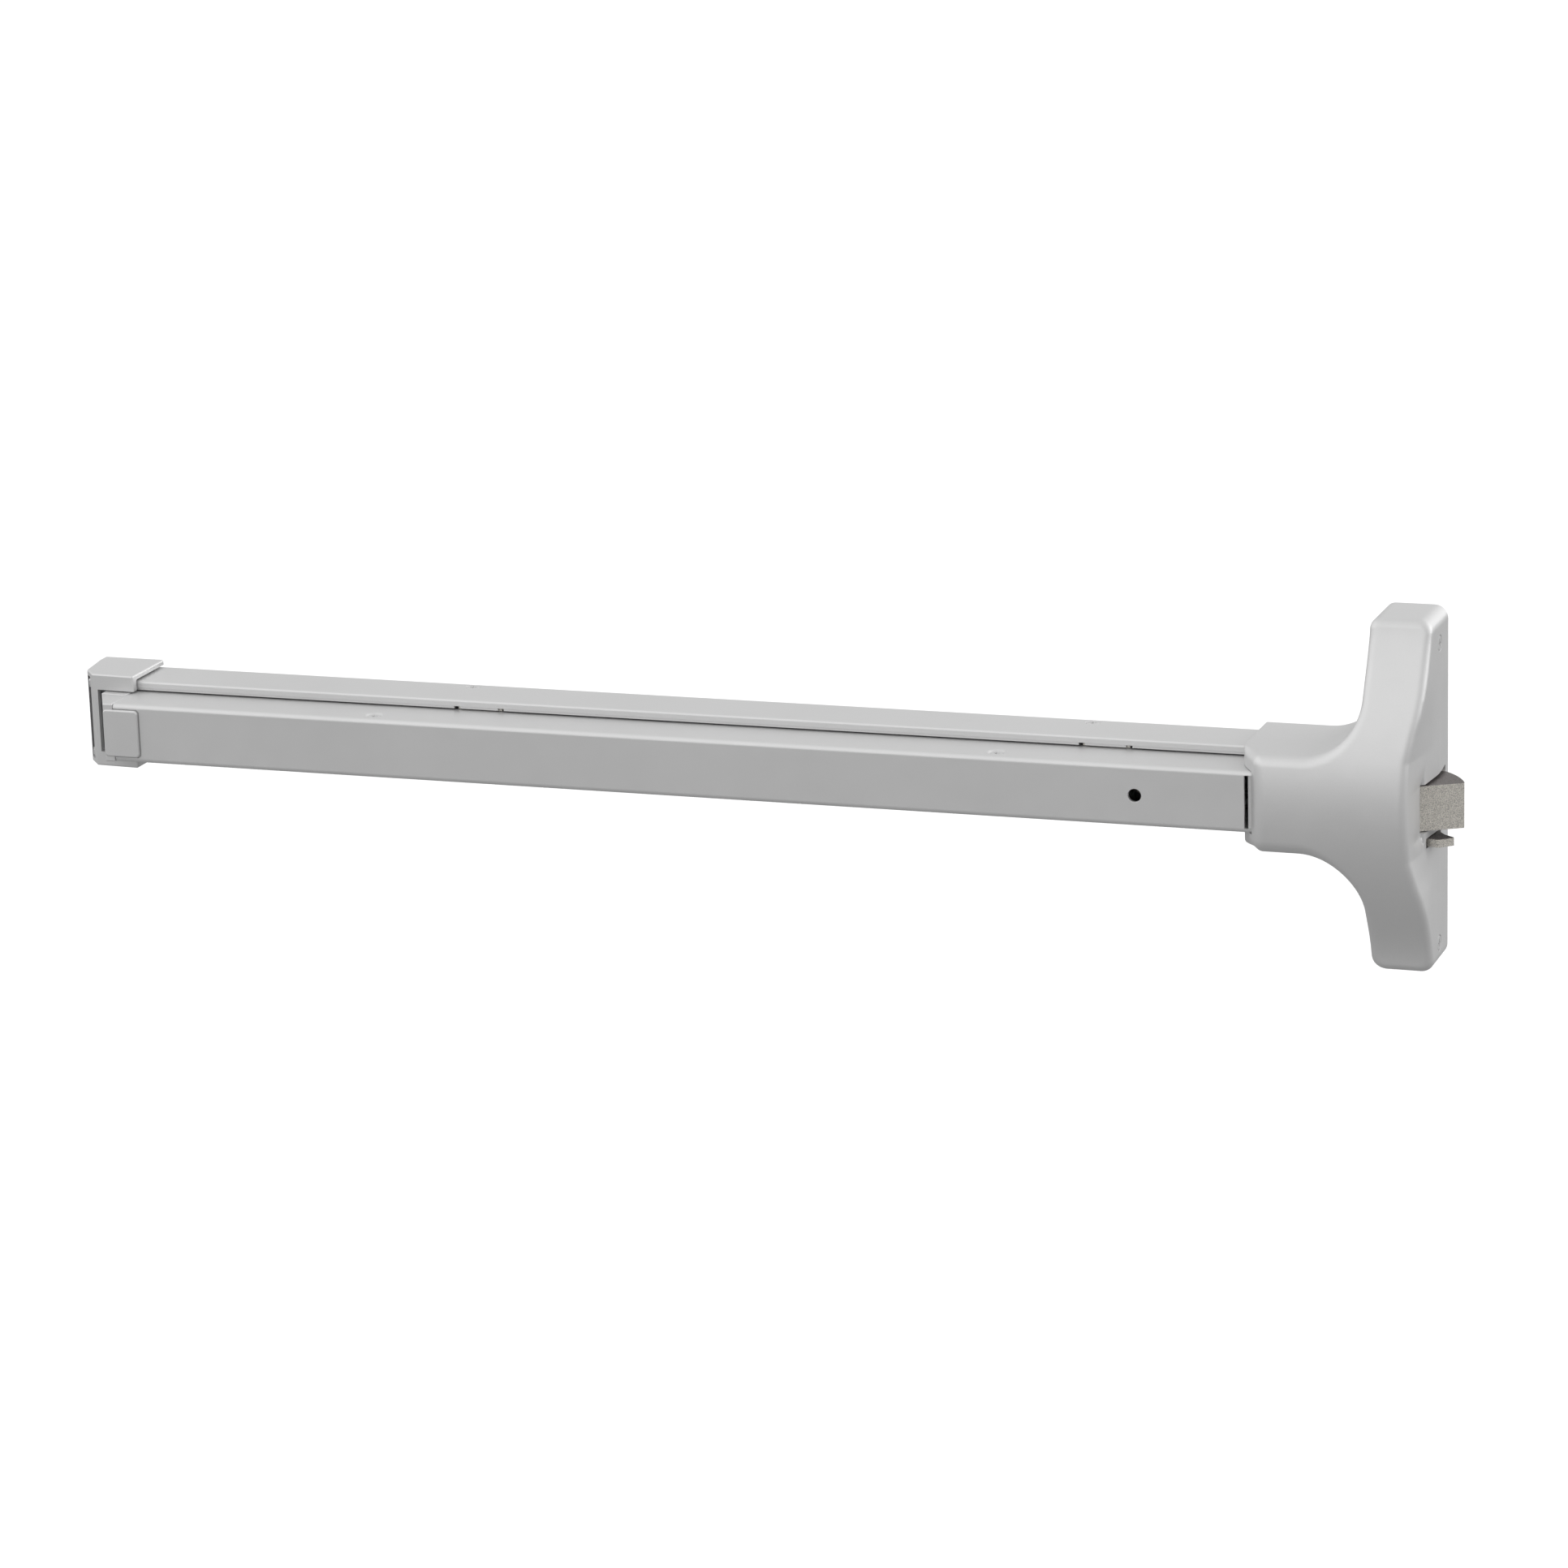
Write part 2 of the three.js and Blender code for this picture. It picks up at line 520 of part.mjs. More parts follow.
// An angle bracket that carries one end of the latch's pin: a shelf, and a flange on the plate.
function latchBracketSolid(shelf0, shelf1, flange0, flange1) {
  const back = -PLATE.thick - GAP;
  const x0 = PX - 16;
  const x1 = PX + 6.6;
  const shelf = block(x0, x1, PY - 8, back, shelf0, shelf1);
  const flange = block(x0, x1, back - 2.7, back, flange0, flange1);
  return cut(shelf.add(flange), cylinder("z", [PX, PY, 0], LATCH_PIN.radius + GAP, shelf0 - 1, shelf1 + 1));
}

function latchGroup() {
  const group = new THREE.Group();
  const bore = LATCH_PIN.radius + GAP;
  const pin = headedPin(LATCH_PIN.radius, 4.4, SHELF.lower[0] - GAP, SHELF.upper[1] + GAP, 2, 2);
  const spacer = cut(
    cylinder("z", [0, 0, 0], 5, DEADLATCH.top + GAP, LATCH.bottom - GAP),
    cylinder("z", [0, 0, 0], bore, DEADLATCH.top - 1, LATCH.bottom + 1),
  );
  const linkPin = cylinder("z", [LINK.x, LINK.y, 0], 2.5, -1.7, 13.5);
  group.add(piece("latch_bracket_upper", latchBracketSolid(...SHELF.upper), "zinc"));
  group.add(piece("latch_bracket_lower", latchBracketSolid(...SHELF.lower), "zinc"));
  group.add(piece("latch_bolt", latchBoltSolid(), "castSteel"));
  group.add(piece("latch_link_pin", linkPin, "zinc"));
  group.add(piece("deadlatch", deadlatchSolid(), "castSteel"));
  const onPin = new THREE.Group();
  onPin.position.set(PX, PY, 0);
  onPin.add(piece("latch_pivot_pin", pin, "zinc"));
  onPin.add(piece("latch_spacer", spacer, "zinc"));
  const spring = (z0, z1) => torsionSpring(4.4, z0 + 1.1, z1 - 1.1, 2, 2.5);
  onPin.add(piece("latch_spring", spring(LATCH.top, SHELF.upper[0]), "spring"));
  onPin.add(piece("deadlatch_spring", spring(SHELF.lower[1], DEADLATCH.bottom), "spring"));
  group.add(onPin);
  return group;
}

// ---------------------------------------------------------------- rod and retractor
const linkHole = (x, z0, z1) => cylinder("z", [x, LINK_SCREW.y, 0], LINK_SCREW.hole, z0 - 1, z1 + 1);

function rodSolid() {
  const { left, right, y0, y1, z0, z1 } = ROD;
  const slots = Object.values(UNIT_X).map((x) => {
    const pinX = x + CRANK.rodArm * Math.sin(HALF_SWING);
    const near = CRANK.y - CRANK.rodArm * Math.cos(HALF_SWING);
    const far = CRANK.y - CRANK.rodArm;
    return prism("z", slotShape(pinX, far - 0.2, pinX, near + 0.2, CRANK.endPinRadius + GAP), z0 - 1, z1 + 1);
  });
  const screw = linkHole(LINK_SCREW.rod, z0, z1);
  return cut(block(left, right, y0, y1, z0, z1), ...slots, screw);
}

function retractorSolid() {
  const { y0, y1, z0, z1 } = ROD;
  const left = ROD.right + GAP;
  const plan = [
    [left, y0], [-12, y0], [-12, -38], [16, -38], [16, -24], [-16, -24], [-26, y1], [left, y1],
  ];
  const crest = PY + LATCH_LINK.reach;
  const slot = prism("z", slotShape(LINK.x, LINK.y - 0.2, LINK.x, crest + 0.2, 2.8), z0 - 1, z1 + 1);
  const screw = linkHole(LINK_SCREW.retractor, z0, z1);
  return cut(prism("z", plan, z0, z1), slot, screw);
}

function rodGroup() {
  const group = new THREE.Group();
  const top = ROD.z1 + GAP;
  const thick = 2.2;
  const { rod, retractor, y } = LINK_SCREW;
  const holes = [rod, retractor].map((x) => linkHole(x, top, top + thick));
  const link = cut(block(rod - 7, retractor + 7, y - 5, y + 5, top, top + thick), ...holes);
  group.add(piece("actuator_rod", rodSolid(), "zinc"));
  group.add(piece("retractor", retractorSolid(), "zinc"));
  group.add(piece("rod_link", link, "zinc"));
  for (const [end, x] of Object.entries({ rod, retractor })) {
    const screw = headedPin(1.8, 3.4, ROD.z0 - 1.5, top + thick + GAP, 0, 1.8);
    const mesh = piece(`link_screw_${end}`, screw, "zinc");
    mesh.position.set(x, y, 0);
    group.add(mesh);
  }
  return group;
}

// ---------------------------------------------------------------- bell-crank units
// Every solid here is drawn with the crank's pivot at x = 0.
const BAR_PIN = {
  x: -CRANK.barArm * Math.cos(HALF_SWING),
  y: CRANK.y - CRANK.barArm * Math.sin(HALF_SWING),
};
const ROD_PIN = {
  x: CRANK.rodArm * Math.sin(HALF_SWING),
  y: CRANK.y - CRANK.rodArm * Math.cos(HALF_SWING),
};

function crankSolid() {
  const half = CRANK.thick / 2;
  const r = CRANK.width / 2;
  const arm = (to) => prism("z", slotShape(0, CRANK.y, to.x, to.y, r), -half, half, 6);
  const hole = (x, y, radius) => cylinder("z", [x, y, 0], radius, -half - 1, half + 1, 16);
  const pinHole = CRANK.endPinRadius + GAP;
  return cut(
    arm(BAR_PIN).add(arm(ROD_PIN)),
    hole(0, CRANK.y, CRANK.pinRadius + GAP),
    hole(BAR_PIN.x, BAR_PIN.y, pinHole),
    hole(ROD_PIN.x, ROD_PIN.y, pinHole),
  );
}

function crankBracketSolid() {
  const floor = -RAIL.wall - GAP;
  const side = RAIL.half - RAIL.wall - GAP;
  const base = block(-14, 30, floor - 2.5, floor, -side, side);
  const flanges = blocks(2, 30, -14, floor, side - 2.7, side);
  const ears = blocks(-EAR.half, EAR.half, -27, floor - 1, EAR.z0, EAR.z1);
  const pivot = cylinder("z", [0, CRANK.y, 0], CRANK.pinRadius + GAP, -EAR.z1 - 1, EAR.z1 + 1);
  const screws = upAndDown(cylinder("z", [0, 0, 0], 2.5, side - 7, side + 1), RAIL_SCREW.x, RAIL_SCREW.y);
  return cut(union(base, ...flanges, ...ears), pivot, ...screws);
}

function carrierSolid() {
  const x0 = BAR_SCREW.x - 12.5;
  const x1 = BAR_SCREW.x + 12.5;
  const front = BAR.front + BAR.wall + GAP;
  const top = BAR.half - BAR.wall - GAP;
  const web = block(x0, x1, front, front + 2.5, -top, top);
  const flanges = blocks(x0, x1, front, -45, top - 2.5, top);
  const plates = blocks(x0, x1, front, BAR_PIN.y + 6, PLATES.z0, PLATES.z1);
  const { x, y } = BAR_PIN;
  const slot = prism("z", slotShape(-CRANK.barArm - 0.2, y, x + 0.2, y, CRANK.endPinRadius + GAP), -9, 9);
  const hole = cylinder("z", [0, 0, 0], BAR_SCREW.shank + GAP, top - 4, top + 1);
  return cut(union(web, ...flanges, ...plates), slot, ...upAndDown(hole, BAR_SCREW.x, BAR_SCREW.y));
}

function glideSolid() {
  const z0 = BAR.half + GAP;
  const z1 = RAIL.half - RAIL.wall - GAP;
  return block(17, 46.4, RAIL.wall + GAP - RAIL.depth, -24, z0, z1);
}

function crankUnit(side, x) {
  const unit = new THREE.Group();
  unit.position.x = x;
  const add = (name, solid, finish, dx = 0, dy = 0, flip = false) => {
    const mesh = piece(`${name}_${side}`, solid, finish);
    mesh.position.set(dx, dy, 0);
    if (flip) mesh.rotation.x = Math.PI;
    unit.add(mesh);
  };
  add("crank_bracket", crankBracketSolid(), "zinc");
  add("crank", crankSolid(), "zinc");
  const pivot = headedPin(CRANK.pinRadius, 4.2, -EAR.z1 - GAP, EAR.z1 + GAP, 2, 2);
  const endPin = (z0, z1) => headedPin(CRANK.endPinRadius, 3.8, z0 - GAP, z1 + GAP, 1.5, 1.5);
  add("crank_pivot_pin", pivot, "zinc", 0, CRANK.y);
  add("crank_bar_pin", endPin(-PLATES.z1, PLATES.z1), "zinc", BAR_PIN.x, BAR_PIN.y);
  add("crank_rod_pin", endPin(-CRANK.thick / 2, ROD.z1), "zinc", ROD_PIN.x, ROD_PIN.y);
  add("crank_spring", torsionSpring(4.4, 3.2, 6.3, 2, 5), "spring", 0, CRANK.y);
  add("bar_carrier", carrierSolid(), "zinc");
  add("travel_bumper", cylinder("y", [BAR_SCREW.x, 0, 0], 9, -6.1, -RAIL.wall - GAP, 24), "rubber");
  const railScrew = flatScrew(RAIL_SCREW.head, RAIL_SCREW.shank, RAIL.half - 0.1, 18);
  const glide = glideSolid();
  for (const [level, flip] of [["upper", false], ["lower", true]]) {
    add(`bar_screw_${level}`, barScrewSolid(), "zinc", BAR_SCREW.x, BAR_SCREW.y, flip);
    add(`rail_screw_${level}`, railScrew, "paint", RAIL_SCREW.x, RAIL_SCREW.y, flip);
    add(`glide_${level}`, flip ? glide.mirror([0, 0, 1]) : glide, "nylon");
  }
  return unit;
}

// ---------------------------------------------------------------- dogging
// A key turned a quarter through the bar's face swings the hook behind the catch and holds the bar in.
function doggingHousingSolid() {
  const floor = -RAIL.wall - GAP;
  const base = block(KEY_HOLE.x - 19, KEY_HOLE.x + 19, floor - 2.5, floor, -22, 22);
  const tower = cylinder("y", [KEY_HOLE.x, 0, 0], 9, HOOK.y1 + GAP, floor - 1, 28);
  const bore = cylinder("y", [KEY_HOLE.x, 0, 0], CAM_SHAFT + GAP, HOOK.y1 - 1, -9, 28);
  return cut(base.add(tower), bore);
}

function doggingCamSolid() {
  const shaft = cylinder("y", [KEY_HOLE.x, 0, 0], CAM_SHAFT, -50, -9.5, 28);
  const hook = block(KEY_HOLE.x, KEY_HOLE.x + HOOK.reach, HOOK.y0, HOOK.y1, -4, 4);
  const socket = cylinder("y", [KEY_HOLE.x, 0, 0], 2.9, -51, -42, 6);
  return cut(shaft.add(hook), socket);
}

function doggingCatchSolid() {
  const floor = BAR.wall + GAP - BAR.half;
  const x0 = KEY_HOLE.x - 6;
  const x1 = KEY_HOLE.x + 6;
  const lipBack = HOOK.y0 + GAP + 0.2 - PRESS + (HOOK.y1 - HOOK.y0);
  const foot = block(x0, x1, -68, lipBack + 2, floor, floor + 2.2);
  const lip = block(x0, x1, lipBack, lipBack + 2, floor, -10.5);
  return foot.add(lip);
}

// ---------------------------------------------------------------- the whole assembly
function endGroup() {
  const group = new THREE.Group();
  group.add(piece("end_cap", endCapSolid(), "paint"));
  group.add(piece("end_cap_bracket", endBracketSolid(), "zinc"));
  const screws = capScrews(flatScrew(3.1, 1.7, CAP_SCREW.top - 0.1, CAP_SCREW.top - 9));
  ["upper", "lower"].forEach((level, i) => group.add(piece(`end_cap_screw_${level}`, screws[i], "zinc")));
  return group;
}

function headGroup() {
  const group = new THREE.Group();
  group.add(piece("head_chassis", chassisSolid(), "zinc"));
  group.add(piece("head_cover", headCoverSolid(), "paint"));
  const screws = coverScrews(() => flatScrew(4.5, 2.2, -0.1, -8.5));
  for (const [name, solid] of screws) group.add(piece(name, solid, "paint"));
  const head = -RAIL.wall - GAP - 4 - GAP; // the tongue's front face, less a gap
  for (const [level, side] of [["upper", 1], ["lower", -1]]) {
    const screw = turned("y", [SPLICE.x, 0, side * SPLICE.z], [
      [0, head - 2], [3.8, head - 2], [3.8, head], [2, head], [2, -GAP], [0, -GAP],
    ]);
    group.add(piece(`splice_screw_${level}`, screw, "zinc"));
  }
  return group;
}

function barGroup() {
  const group = new THREE.Group();
  group.add(piece("push_bar", barSolid(), "paint"));
  group.add(piece("push_bar_end_pad", padSolid(), "paint"));
  group.add(piece("dogging_catch", doggingCatchSolid(), "zinc"));
  return group;
}

function exitBar() {
  const group = new THREE.Group();
  group.add(piece("rail_channel", railSolid(), "paint"));
  group.add(endGroup(), headGroup(), latchGroup(), rodGroup(), barGroup());
  for (const [side, x] of Object.entries(UNIT_X)) group.add(crankUnit(side, x));
  group.add(piece("dogging_housing", doggingHousingSolid(), "zinc"));
  group.add(piece("dogging_cam", doggingCamSolid(), "castSteel"));
  return group;
}

export default exitBar();
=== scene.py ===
"""The looks of a touch-bar panic exit device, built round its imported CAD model.

Shapes are worked out in millimetres, in the CAD model's own frame, and turned into metres when a
mesh is made. The door's face is y = 0 and the bar stands out towards -y; +x runs to the lock edge.
"""
import json
import math

import bmesh
import bpy
import numpy as np
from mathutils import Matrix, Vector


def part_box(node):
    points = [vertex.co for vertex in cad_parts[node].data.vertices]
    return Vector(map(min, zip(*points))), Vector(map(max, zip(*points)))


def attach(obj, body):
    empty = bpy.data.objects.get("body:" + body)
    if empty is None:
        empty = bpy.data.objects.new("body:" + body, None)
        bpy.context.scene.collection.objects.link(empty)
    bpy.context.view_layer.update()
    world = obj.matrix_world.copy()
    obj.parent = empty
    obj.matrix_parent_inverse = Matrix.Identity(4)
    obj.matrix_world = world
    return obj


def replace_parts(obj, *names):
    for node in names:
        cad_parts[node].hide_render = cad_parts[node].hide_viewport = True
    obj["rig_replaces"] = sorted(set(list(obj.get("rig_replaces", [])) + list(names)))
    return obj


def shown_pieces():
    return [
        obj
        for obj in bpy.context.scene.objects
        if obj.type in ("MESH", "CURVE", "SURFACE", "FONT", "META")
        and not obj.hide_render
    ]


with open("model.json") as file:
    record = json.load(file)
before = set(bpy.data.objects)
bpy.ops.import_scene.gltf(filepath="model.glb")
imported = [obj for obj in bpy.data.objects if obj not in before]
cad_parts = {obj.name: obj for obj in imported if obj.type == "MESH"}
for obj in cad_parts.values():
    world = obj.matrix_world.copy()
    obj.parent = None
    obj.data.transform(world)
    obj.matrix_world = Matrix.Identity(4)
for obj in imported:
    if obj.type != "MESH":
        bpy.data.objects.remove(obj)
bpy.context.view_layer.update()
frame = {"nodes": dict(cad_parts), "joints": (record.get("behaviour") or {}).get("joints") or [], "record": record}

import openvdb as vdb
from mathutils import Matrix, Vector

MM = 0.001


# ------------------------------------------------------------------ reading the frame
class Box:
    """A CAD node's box in millimetres."""

    def __init__(self, node):
        low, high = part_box(node)
        self.x0, self.y0, self.z0 = (c / MM for c in low)
        self.x1, self.y1, self.z1 = (c / MM for c in high)
        self.x, self.y, self.z = (self.x0 + self.x1) / 2, (self.y0 + self.y1) / 2, (self.z0 + self.z1) / 2
        self.wide, self.deep, self.tall = self.x1 - self.x0, self.y1 - self.y0, self.z1 - self.z0


BODY_OF = {node: body for body, nodes in frame["record"]["behaviour"]["bodies"].items() for node in nodes}
SLOT_OF = {part["node"]: part["material_slot"] for part in frame["record"]["subparts"]}

RAIL = Box("rail_channel")
BAR = Box("push_bar")
CAP = Box("end_cap")
PAD = Box("push_bar_end_pad")
HEAD = Box("head_cover")


# ------------------------------------------------------------------ meshes
def new_object(name, verts, faces):
    """An object from points in millimetres, with every face turned outwards."""
    mesh = bpy.data.meshes.new(name)
    mesh.from_pydata([(x * MM, y * MM, z * MM) for x, y, z in verts], [], faces)
    shape = bmesh.new()
    shape.from_mesh(mesh)
    bmesh.ops.remove_doubles(shape, verts=shape.verts, dist=1e-7)
    bmesh.ops.recalc_face_normals(shape, faces=shape.faces)
    shape.to_mesh(mesh)
    shape.free()
    obj = bpy.data.objects.new(name, mesh)
    bpy.context.scene.collection.objects.link(obj)
    return obj


def bake(obj):
    """Turns an object's modifiers into its mesh."""
    graph = bpy.context.evaluated_depsgraph_get()
    mesh = bpy.data.meshes.new_from_object(obj.evaluated_get(graph))
    obj.modifiers.clear()
    obj.data = mesh
    return obj


def boolean(obj, tool, operation="DIFFERENCE"):
    step = obj.modifiers.new("boolean", "BOOLEAN")
    step.operation = operation
    step.solver = "MANIFOLD"
    step.object = tool
    bake(obj)
    bpy.data.objects.remove(tool)
    return obj


def cut(obj, tools):
    for tool in tools:
        boolean(obj, tool)
    return obj


def bevel(obj, width, segments=3, angle=35):
    step = obj.modifiers.new("bevel", "BEVEL")
    step.width = width * MM
    step.segments = segments
    step.limit_method = "ANGLE"
    step.angle_limit = math.radians(angle)
    step.miter_outer = "MITER_ARC"
    return bake(obj)


def flatten(obj, angle=1):
    """Joins neighbouring faces that lie in one plane."""
    shape = bmesh.new()
    shape.from_mesh(obj.data)
    bmesh.ops.remove_doubles(shape, verts=shape.verts, dist=2e-6)
    bmesh.ops.dissolve_limit(shape, angle_limit=math.radians(angle), verts=shape.verts, edges=shape.edges)
    shape.to_mesh(obj.data)
    shape.free()
    return obj


def smooth(obj, angle=32, weighted=True):
    """Smooth shading that stays sharp over an angle, with flat faces kept flat beside small rounds."""
    obj.data.shade_smooth()
    obj.data.set_sharp_from_angle(angle=math.radians(angle))
    if weighted:
        step = obj.modifiers.new("weighted", "WEIGHTED_NORMAL")
        step.keep_sharp = True
        bake(obj)
    return obj


def along(axis, u, v, w):
    """A point drawn at (u, v) and pushed w along an axis: u, v are (y, z), (x, z) or (x, y)."""
    return {"x": (w, u, v), "y": (u, w, v), "z": (u, v, w)}[axis]


def prism(axis, outline, a, b, name="tool"):
    count = len(outline)
    verts = [along(axis, u, v, w) for w in (a, b) for u, v in outline]
    faces = [list(range(count)), list(range(count, 2 * count))]
    faces += [[i, (i + 1) % count, count + (i + 1) % count, count + i] for i in range(count)]
    return new_object(name, verts, faces)


def block(x0, x1, y0, y1, z0, z1, name="tool"):
    return prism("z", [(x0, y0), (x1, y0), (x1, y1), (x0, y1)], z0, z1, name)


def turned(axis, at, profile, segments=48, name="tool"):
    """A body of revolution: profile is (radius, distance along the axis), from axis to axis."""
    rings = []
    for radius, distance in profile:
        steps = [2 * math.pi * i / segments for i in range(segments)]
        rings.append([(radius * math.cos(t), radius * math.sin(t), distance) for t in steps])
    verts = [
        tuple(p + q for p, q in zip(along(axis, *point), at)) for ring in rings for point in ring
    ]
    faces = []
    for k in range(len(rings) - 1):
        for i in range(segments):
            j = (i + 1) % segments
            faces.append([k * segments + i, k * segments + j, (k + 1) * segments + j, (k + 1) * segments + i])
    return new_object(name, verts, faces)


def cylinder(axis, at, radius, a, b, segments=48, name="tool"):
    return turned(axis, at, [(0, a), (radius, a), (radius, b), (0, b)], segments, name)


def fillet(corners, steps=5):
    """An outline from (u, v, radius) corners, each rounded by its radius."""
    points = []
    for i, (u, v, radius) in enumerate(corners):
        here = np.array([u, v], float)
        if not radius:
            points.append(tuple(here))
            continue
        before = np.array(corners[i - 1][:2], float) - here
        after = np.array(corners[(i + 1) % len(corners)][:2], float) - here
        before /= np.linalg.norm(before)
        after /= np.linalg.norm(after)
        half = math.acos(max(-1.0, min(1.0, before @ after))) / 2
        middle = here + (before + after) / np.linalg.norm(before + after) * radius / math.sin(half)
        start = here + before * radius / math.tan(half) - middle
        end = here + after * radius / math.tan(half) - middle
        sweep = math.atan2(start[0] * end[1] - start[1] * end[0], start @ end)
        for k in range(steps + 1):
            t = sweep * k / steps
            turn = np.array([[math.cos(t), -math.sin(t)], [math.sin(t), math.cos(t)]])
            points.append(tuple(middle + turn @ start))
    return points


def mirrored(corners):
    """Corners above v = 0, followed by their reflections below it."""
    return corners + [(u, -v, r) for u, v, r in reversed(corners)]


def stands_for(obj, node, painted_shade_ends=None):
    """Gives a finished piece its name, body, slot and material, and hides the CAD node it replaces. A second
    material, if given, goes on its faces turned up or down: a darker copy painted on as shade.
    """
    obj.name = node + "_skin"
    obj.data.name = obj.name
    obj.data.materials.clear()
    obj.data.materials.append(MATERIAL[LOOK_OF[SLOT_OF[node]]])
    # painted shade: faces turned up or down get the darker copy of the material
    if painted_shade_ends:
        obj.data.materials.append(MATERIAL[painted_shade_ends])
        for face in obj.data.polygons:
            face.material_index = int(abs(face.normal.z) > 0.7)
    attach(obj, BODY_OF[node])
    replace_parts(obj, node)
    return obj


# ------------------------------------------------------------------ materials
class Nodes:
    """A node material, wired in a few words."""

    def __init__(self, name):
        self.material = bpy.data.materials.new(name)
        self.material.use_nodes = True
        self.tree = self.material.node_tree
        self.shader = self.tree.nodes["Principled BSDF"]
        self.place = self.add("ShaderNodeTexCoord").outputs["Object"]

    def add(self, kind, **inputs):
        node = self.tree.nodes.new(kind)
        for key, value in inputs.items():
            node.inputs[key.replace("_", " ")].default_value = value
        return node

    def link(self, source, target):
        self.tree.links.new(source, target)

    def noise(self, size, detail=2.0, stretch=None):
        """Noise whose features are about size millimetres across."""
        node = self.add("ShaderNodeTexNoise", Scale=1 / (size * MM), Detail=detail)
        place = self.place
        if stretch:
            mapping = self.add("ShaderNodeMapping", Scale=stretch)
            self.link(place, mapping.inputs["Vector"])
            place = mapping.outputs["Vector"]
        self.link(place, node.inputs["Vector"])
        return node.outputs["Fac"]

    def ramp(self, source, low, high, start=0.3, end=0.7):
        node = self.add("ShaderNodeValToRGB")
        node.color_ramp.elements[0].position = start
        node.color_ramp.elements[0].color = (*low, 1)
        node.color_ramp.elements[1].position = end
        node.color_ramp.elements[1].color = (*high, 1)
        self.link(source, node.inputs["Fac"])
        return node.outputs["Color"]

    def span(self, source, low, high, start=0.3, end=0.7):
        node = self.add("ShaderNodeMapRange", From_Min=start, From_Max=end, To_Min=low, To_Max=high)
        self.link(source, node.inputs["Value"])
        return node.outputs["Result"]

    def bumps(self, *layers):
        """Bump from (height source, depth in millimetres) layers, one over another."""
        last = None
        for source, depth in layers:
            node = self.add("ShaderNodeBump", Distance=depth * MM, Strength=1.0)
            self.link(source, node.inputs["Height"])
            if last:
                self.link(last, node.inputs["Normal"])
            last = node.outputs["Normal"]
        self.link(last, self.shader.inputs["Normal"])

    def tinted(self, first, second, share):
        """The first colour multiplied by the second, by a share."""
        node = self.add("ShaderNodeMix")
        node.data_type = "RGBA"
        node.blend_type = "MULTIPLY"
        node.inputs["Factor"].default_value = share
        self.link(first, node.inputs[6])
        self.link(second, node.inputs[7])
        return node.outputs[2]

    def finish(self, colour, metallic, roughness, specular=0.5):
        self.link(colour, self.shader.inputs["Base Color"])
        self.shader.inputs["Metallic"].default_value = metallic
        self.link(roughness, self.shader.inputs["Roughness"])
        self.shader.inputs["Specular IOR Level"].default_value = specular
        return self.material


def paint(name, tone, metallic, rough, peel):
    """Sprayed aluminium paint: fine flake, slow drift of tone, and a soft orange-peel surface."""
    n = Nodes(name)
    drift = n.ramp(n.noise(90, 1), [tone * 0.975] * 3, [tone] * 3)
    flake = n.ramp(n.noise(0.22, 1), [0.9] * 3, [1.0] * 3)
    colour = n.tinted(drift, flake, 0.6)
    roughness = n.span(n.noise(14, 2), rough - 0.025, rough + 0.025)
    n.bumps((n.noise(1.5, 1), peel), (n.noise(0.3, 1), 0.0012))
    return n.finish(colour, metallic, roughness)


def sintered(name, dark, light):
    """Pressed and sintered steel: open grain, slightly warm, with a dull polish on the high grains."""
    n = Nodes(name)
    grain = n.noise(0.6, 2)
    tint = n.ramp(n.noise(1.8, 2), dark, light)
    speck = n.ramp(grain, (0.45, 0.45, 0.46), (1.0, 1.0, 1.0), 0.36, 0.6)
    colour = n.tinted(tint, speck, 0.85)
    roughness = n.span(grain, 0.62, 0.42)
    n.bumps((grain, 0.035), (n.noise(0.16, 2), 0.008))
    return n.finish(colour, 0.7, roughness)


def plated(name):
    """Zinc-plated sheet: bright, a little cloudy, with fine rolling marks."""
    n = Nodes(name)
    colour = n.ramp(n.noise(9, 3), (0.56, 0.57, 0.59), (0.68, 0.685, 0.69))
    roughness = n.span(n.noise(5, 4), 0.24, 0.4)
    n.bumps((n.noise(0.35, 2, stretch=(0.08, 1, 1)), 0.004), (n.noise(2.5, 2), 0.006))
    return n.finish(colour, 1.0, roughness)


def spring_wire(name):
    n = Nodes(name)
    colour = n.ramp(n.noise(1.2, 2), (0.2, 0.205, 0.215), (0.3, 0.305, 0.315))
    n.bumps((n.noise(0.12, 2), 0.002))
    return n.finish(colour, 1.0, n.span(n.noise(0.8, 2), 0.26, 0.36))


def moulded(name, low, high, rough, depth, size):
    """Moulded plastic or rubber with a fine spark-eroded texture."""
    n = Nodes(name)
    colour = n.ramp(n.noise(6, 2), low, high)
    n.bumps((n.noise(size, 2), depth))
    return n.finish(colour, 0.0, n.span(n.noise(1.5, 2), rough - 0.05, rough + 0.05))


MATERIAL = {
    "paint": paint("satin_aluminium_paint", 0.62, 0.45, 0.40, 0.010),
    "cast_paint": paint("satin_paint_on_casting", 0.62, 0.45, 0.41, 0.014),
    "screw_paint": paint("satin_paint_on_screws", 0.60, 0.45, 0.42, 0.006),
    "sintered": sintered("sintered_steel", (0.72, 0.69, 0.63), (0.78, 0.75, 0.69)),
    # a darker copy of the sintered steel, painted on the latches' top and bottom faces as shade
    "sintered_painted_shade": sintered("sintered_steel_painted_shade", (0.17, 0.155, 0.15), (0.24, 0.22, 0.21)),
    "plated": plated("zinc_plate"),
    "spring": spring_wire("spring_wire"),
    "nylon": moulded("natural_nylon", (0.62, 0.60, 0.55), (0.70, 0.685, 0.64), 0.5, 0.004, 0.4),
    "rubber": moulded("black_rubber", (0.018, 0.018, 0.019), (0.03, 0.03, 0.031), 0.75, 0.012, 0.5),
}
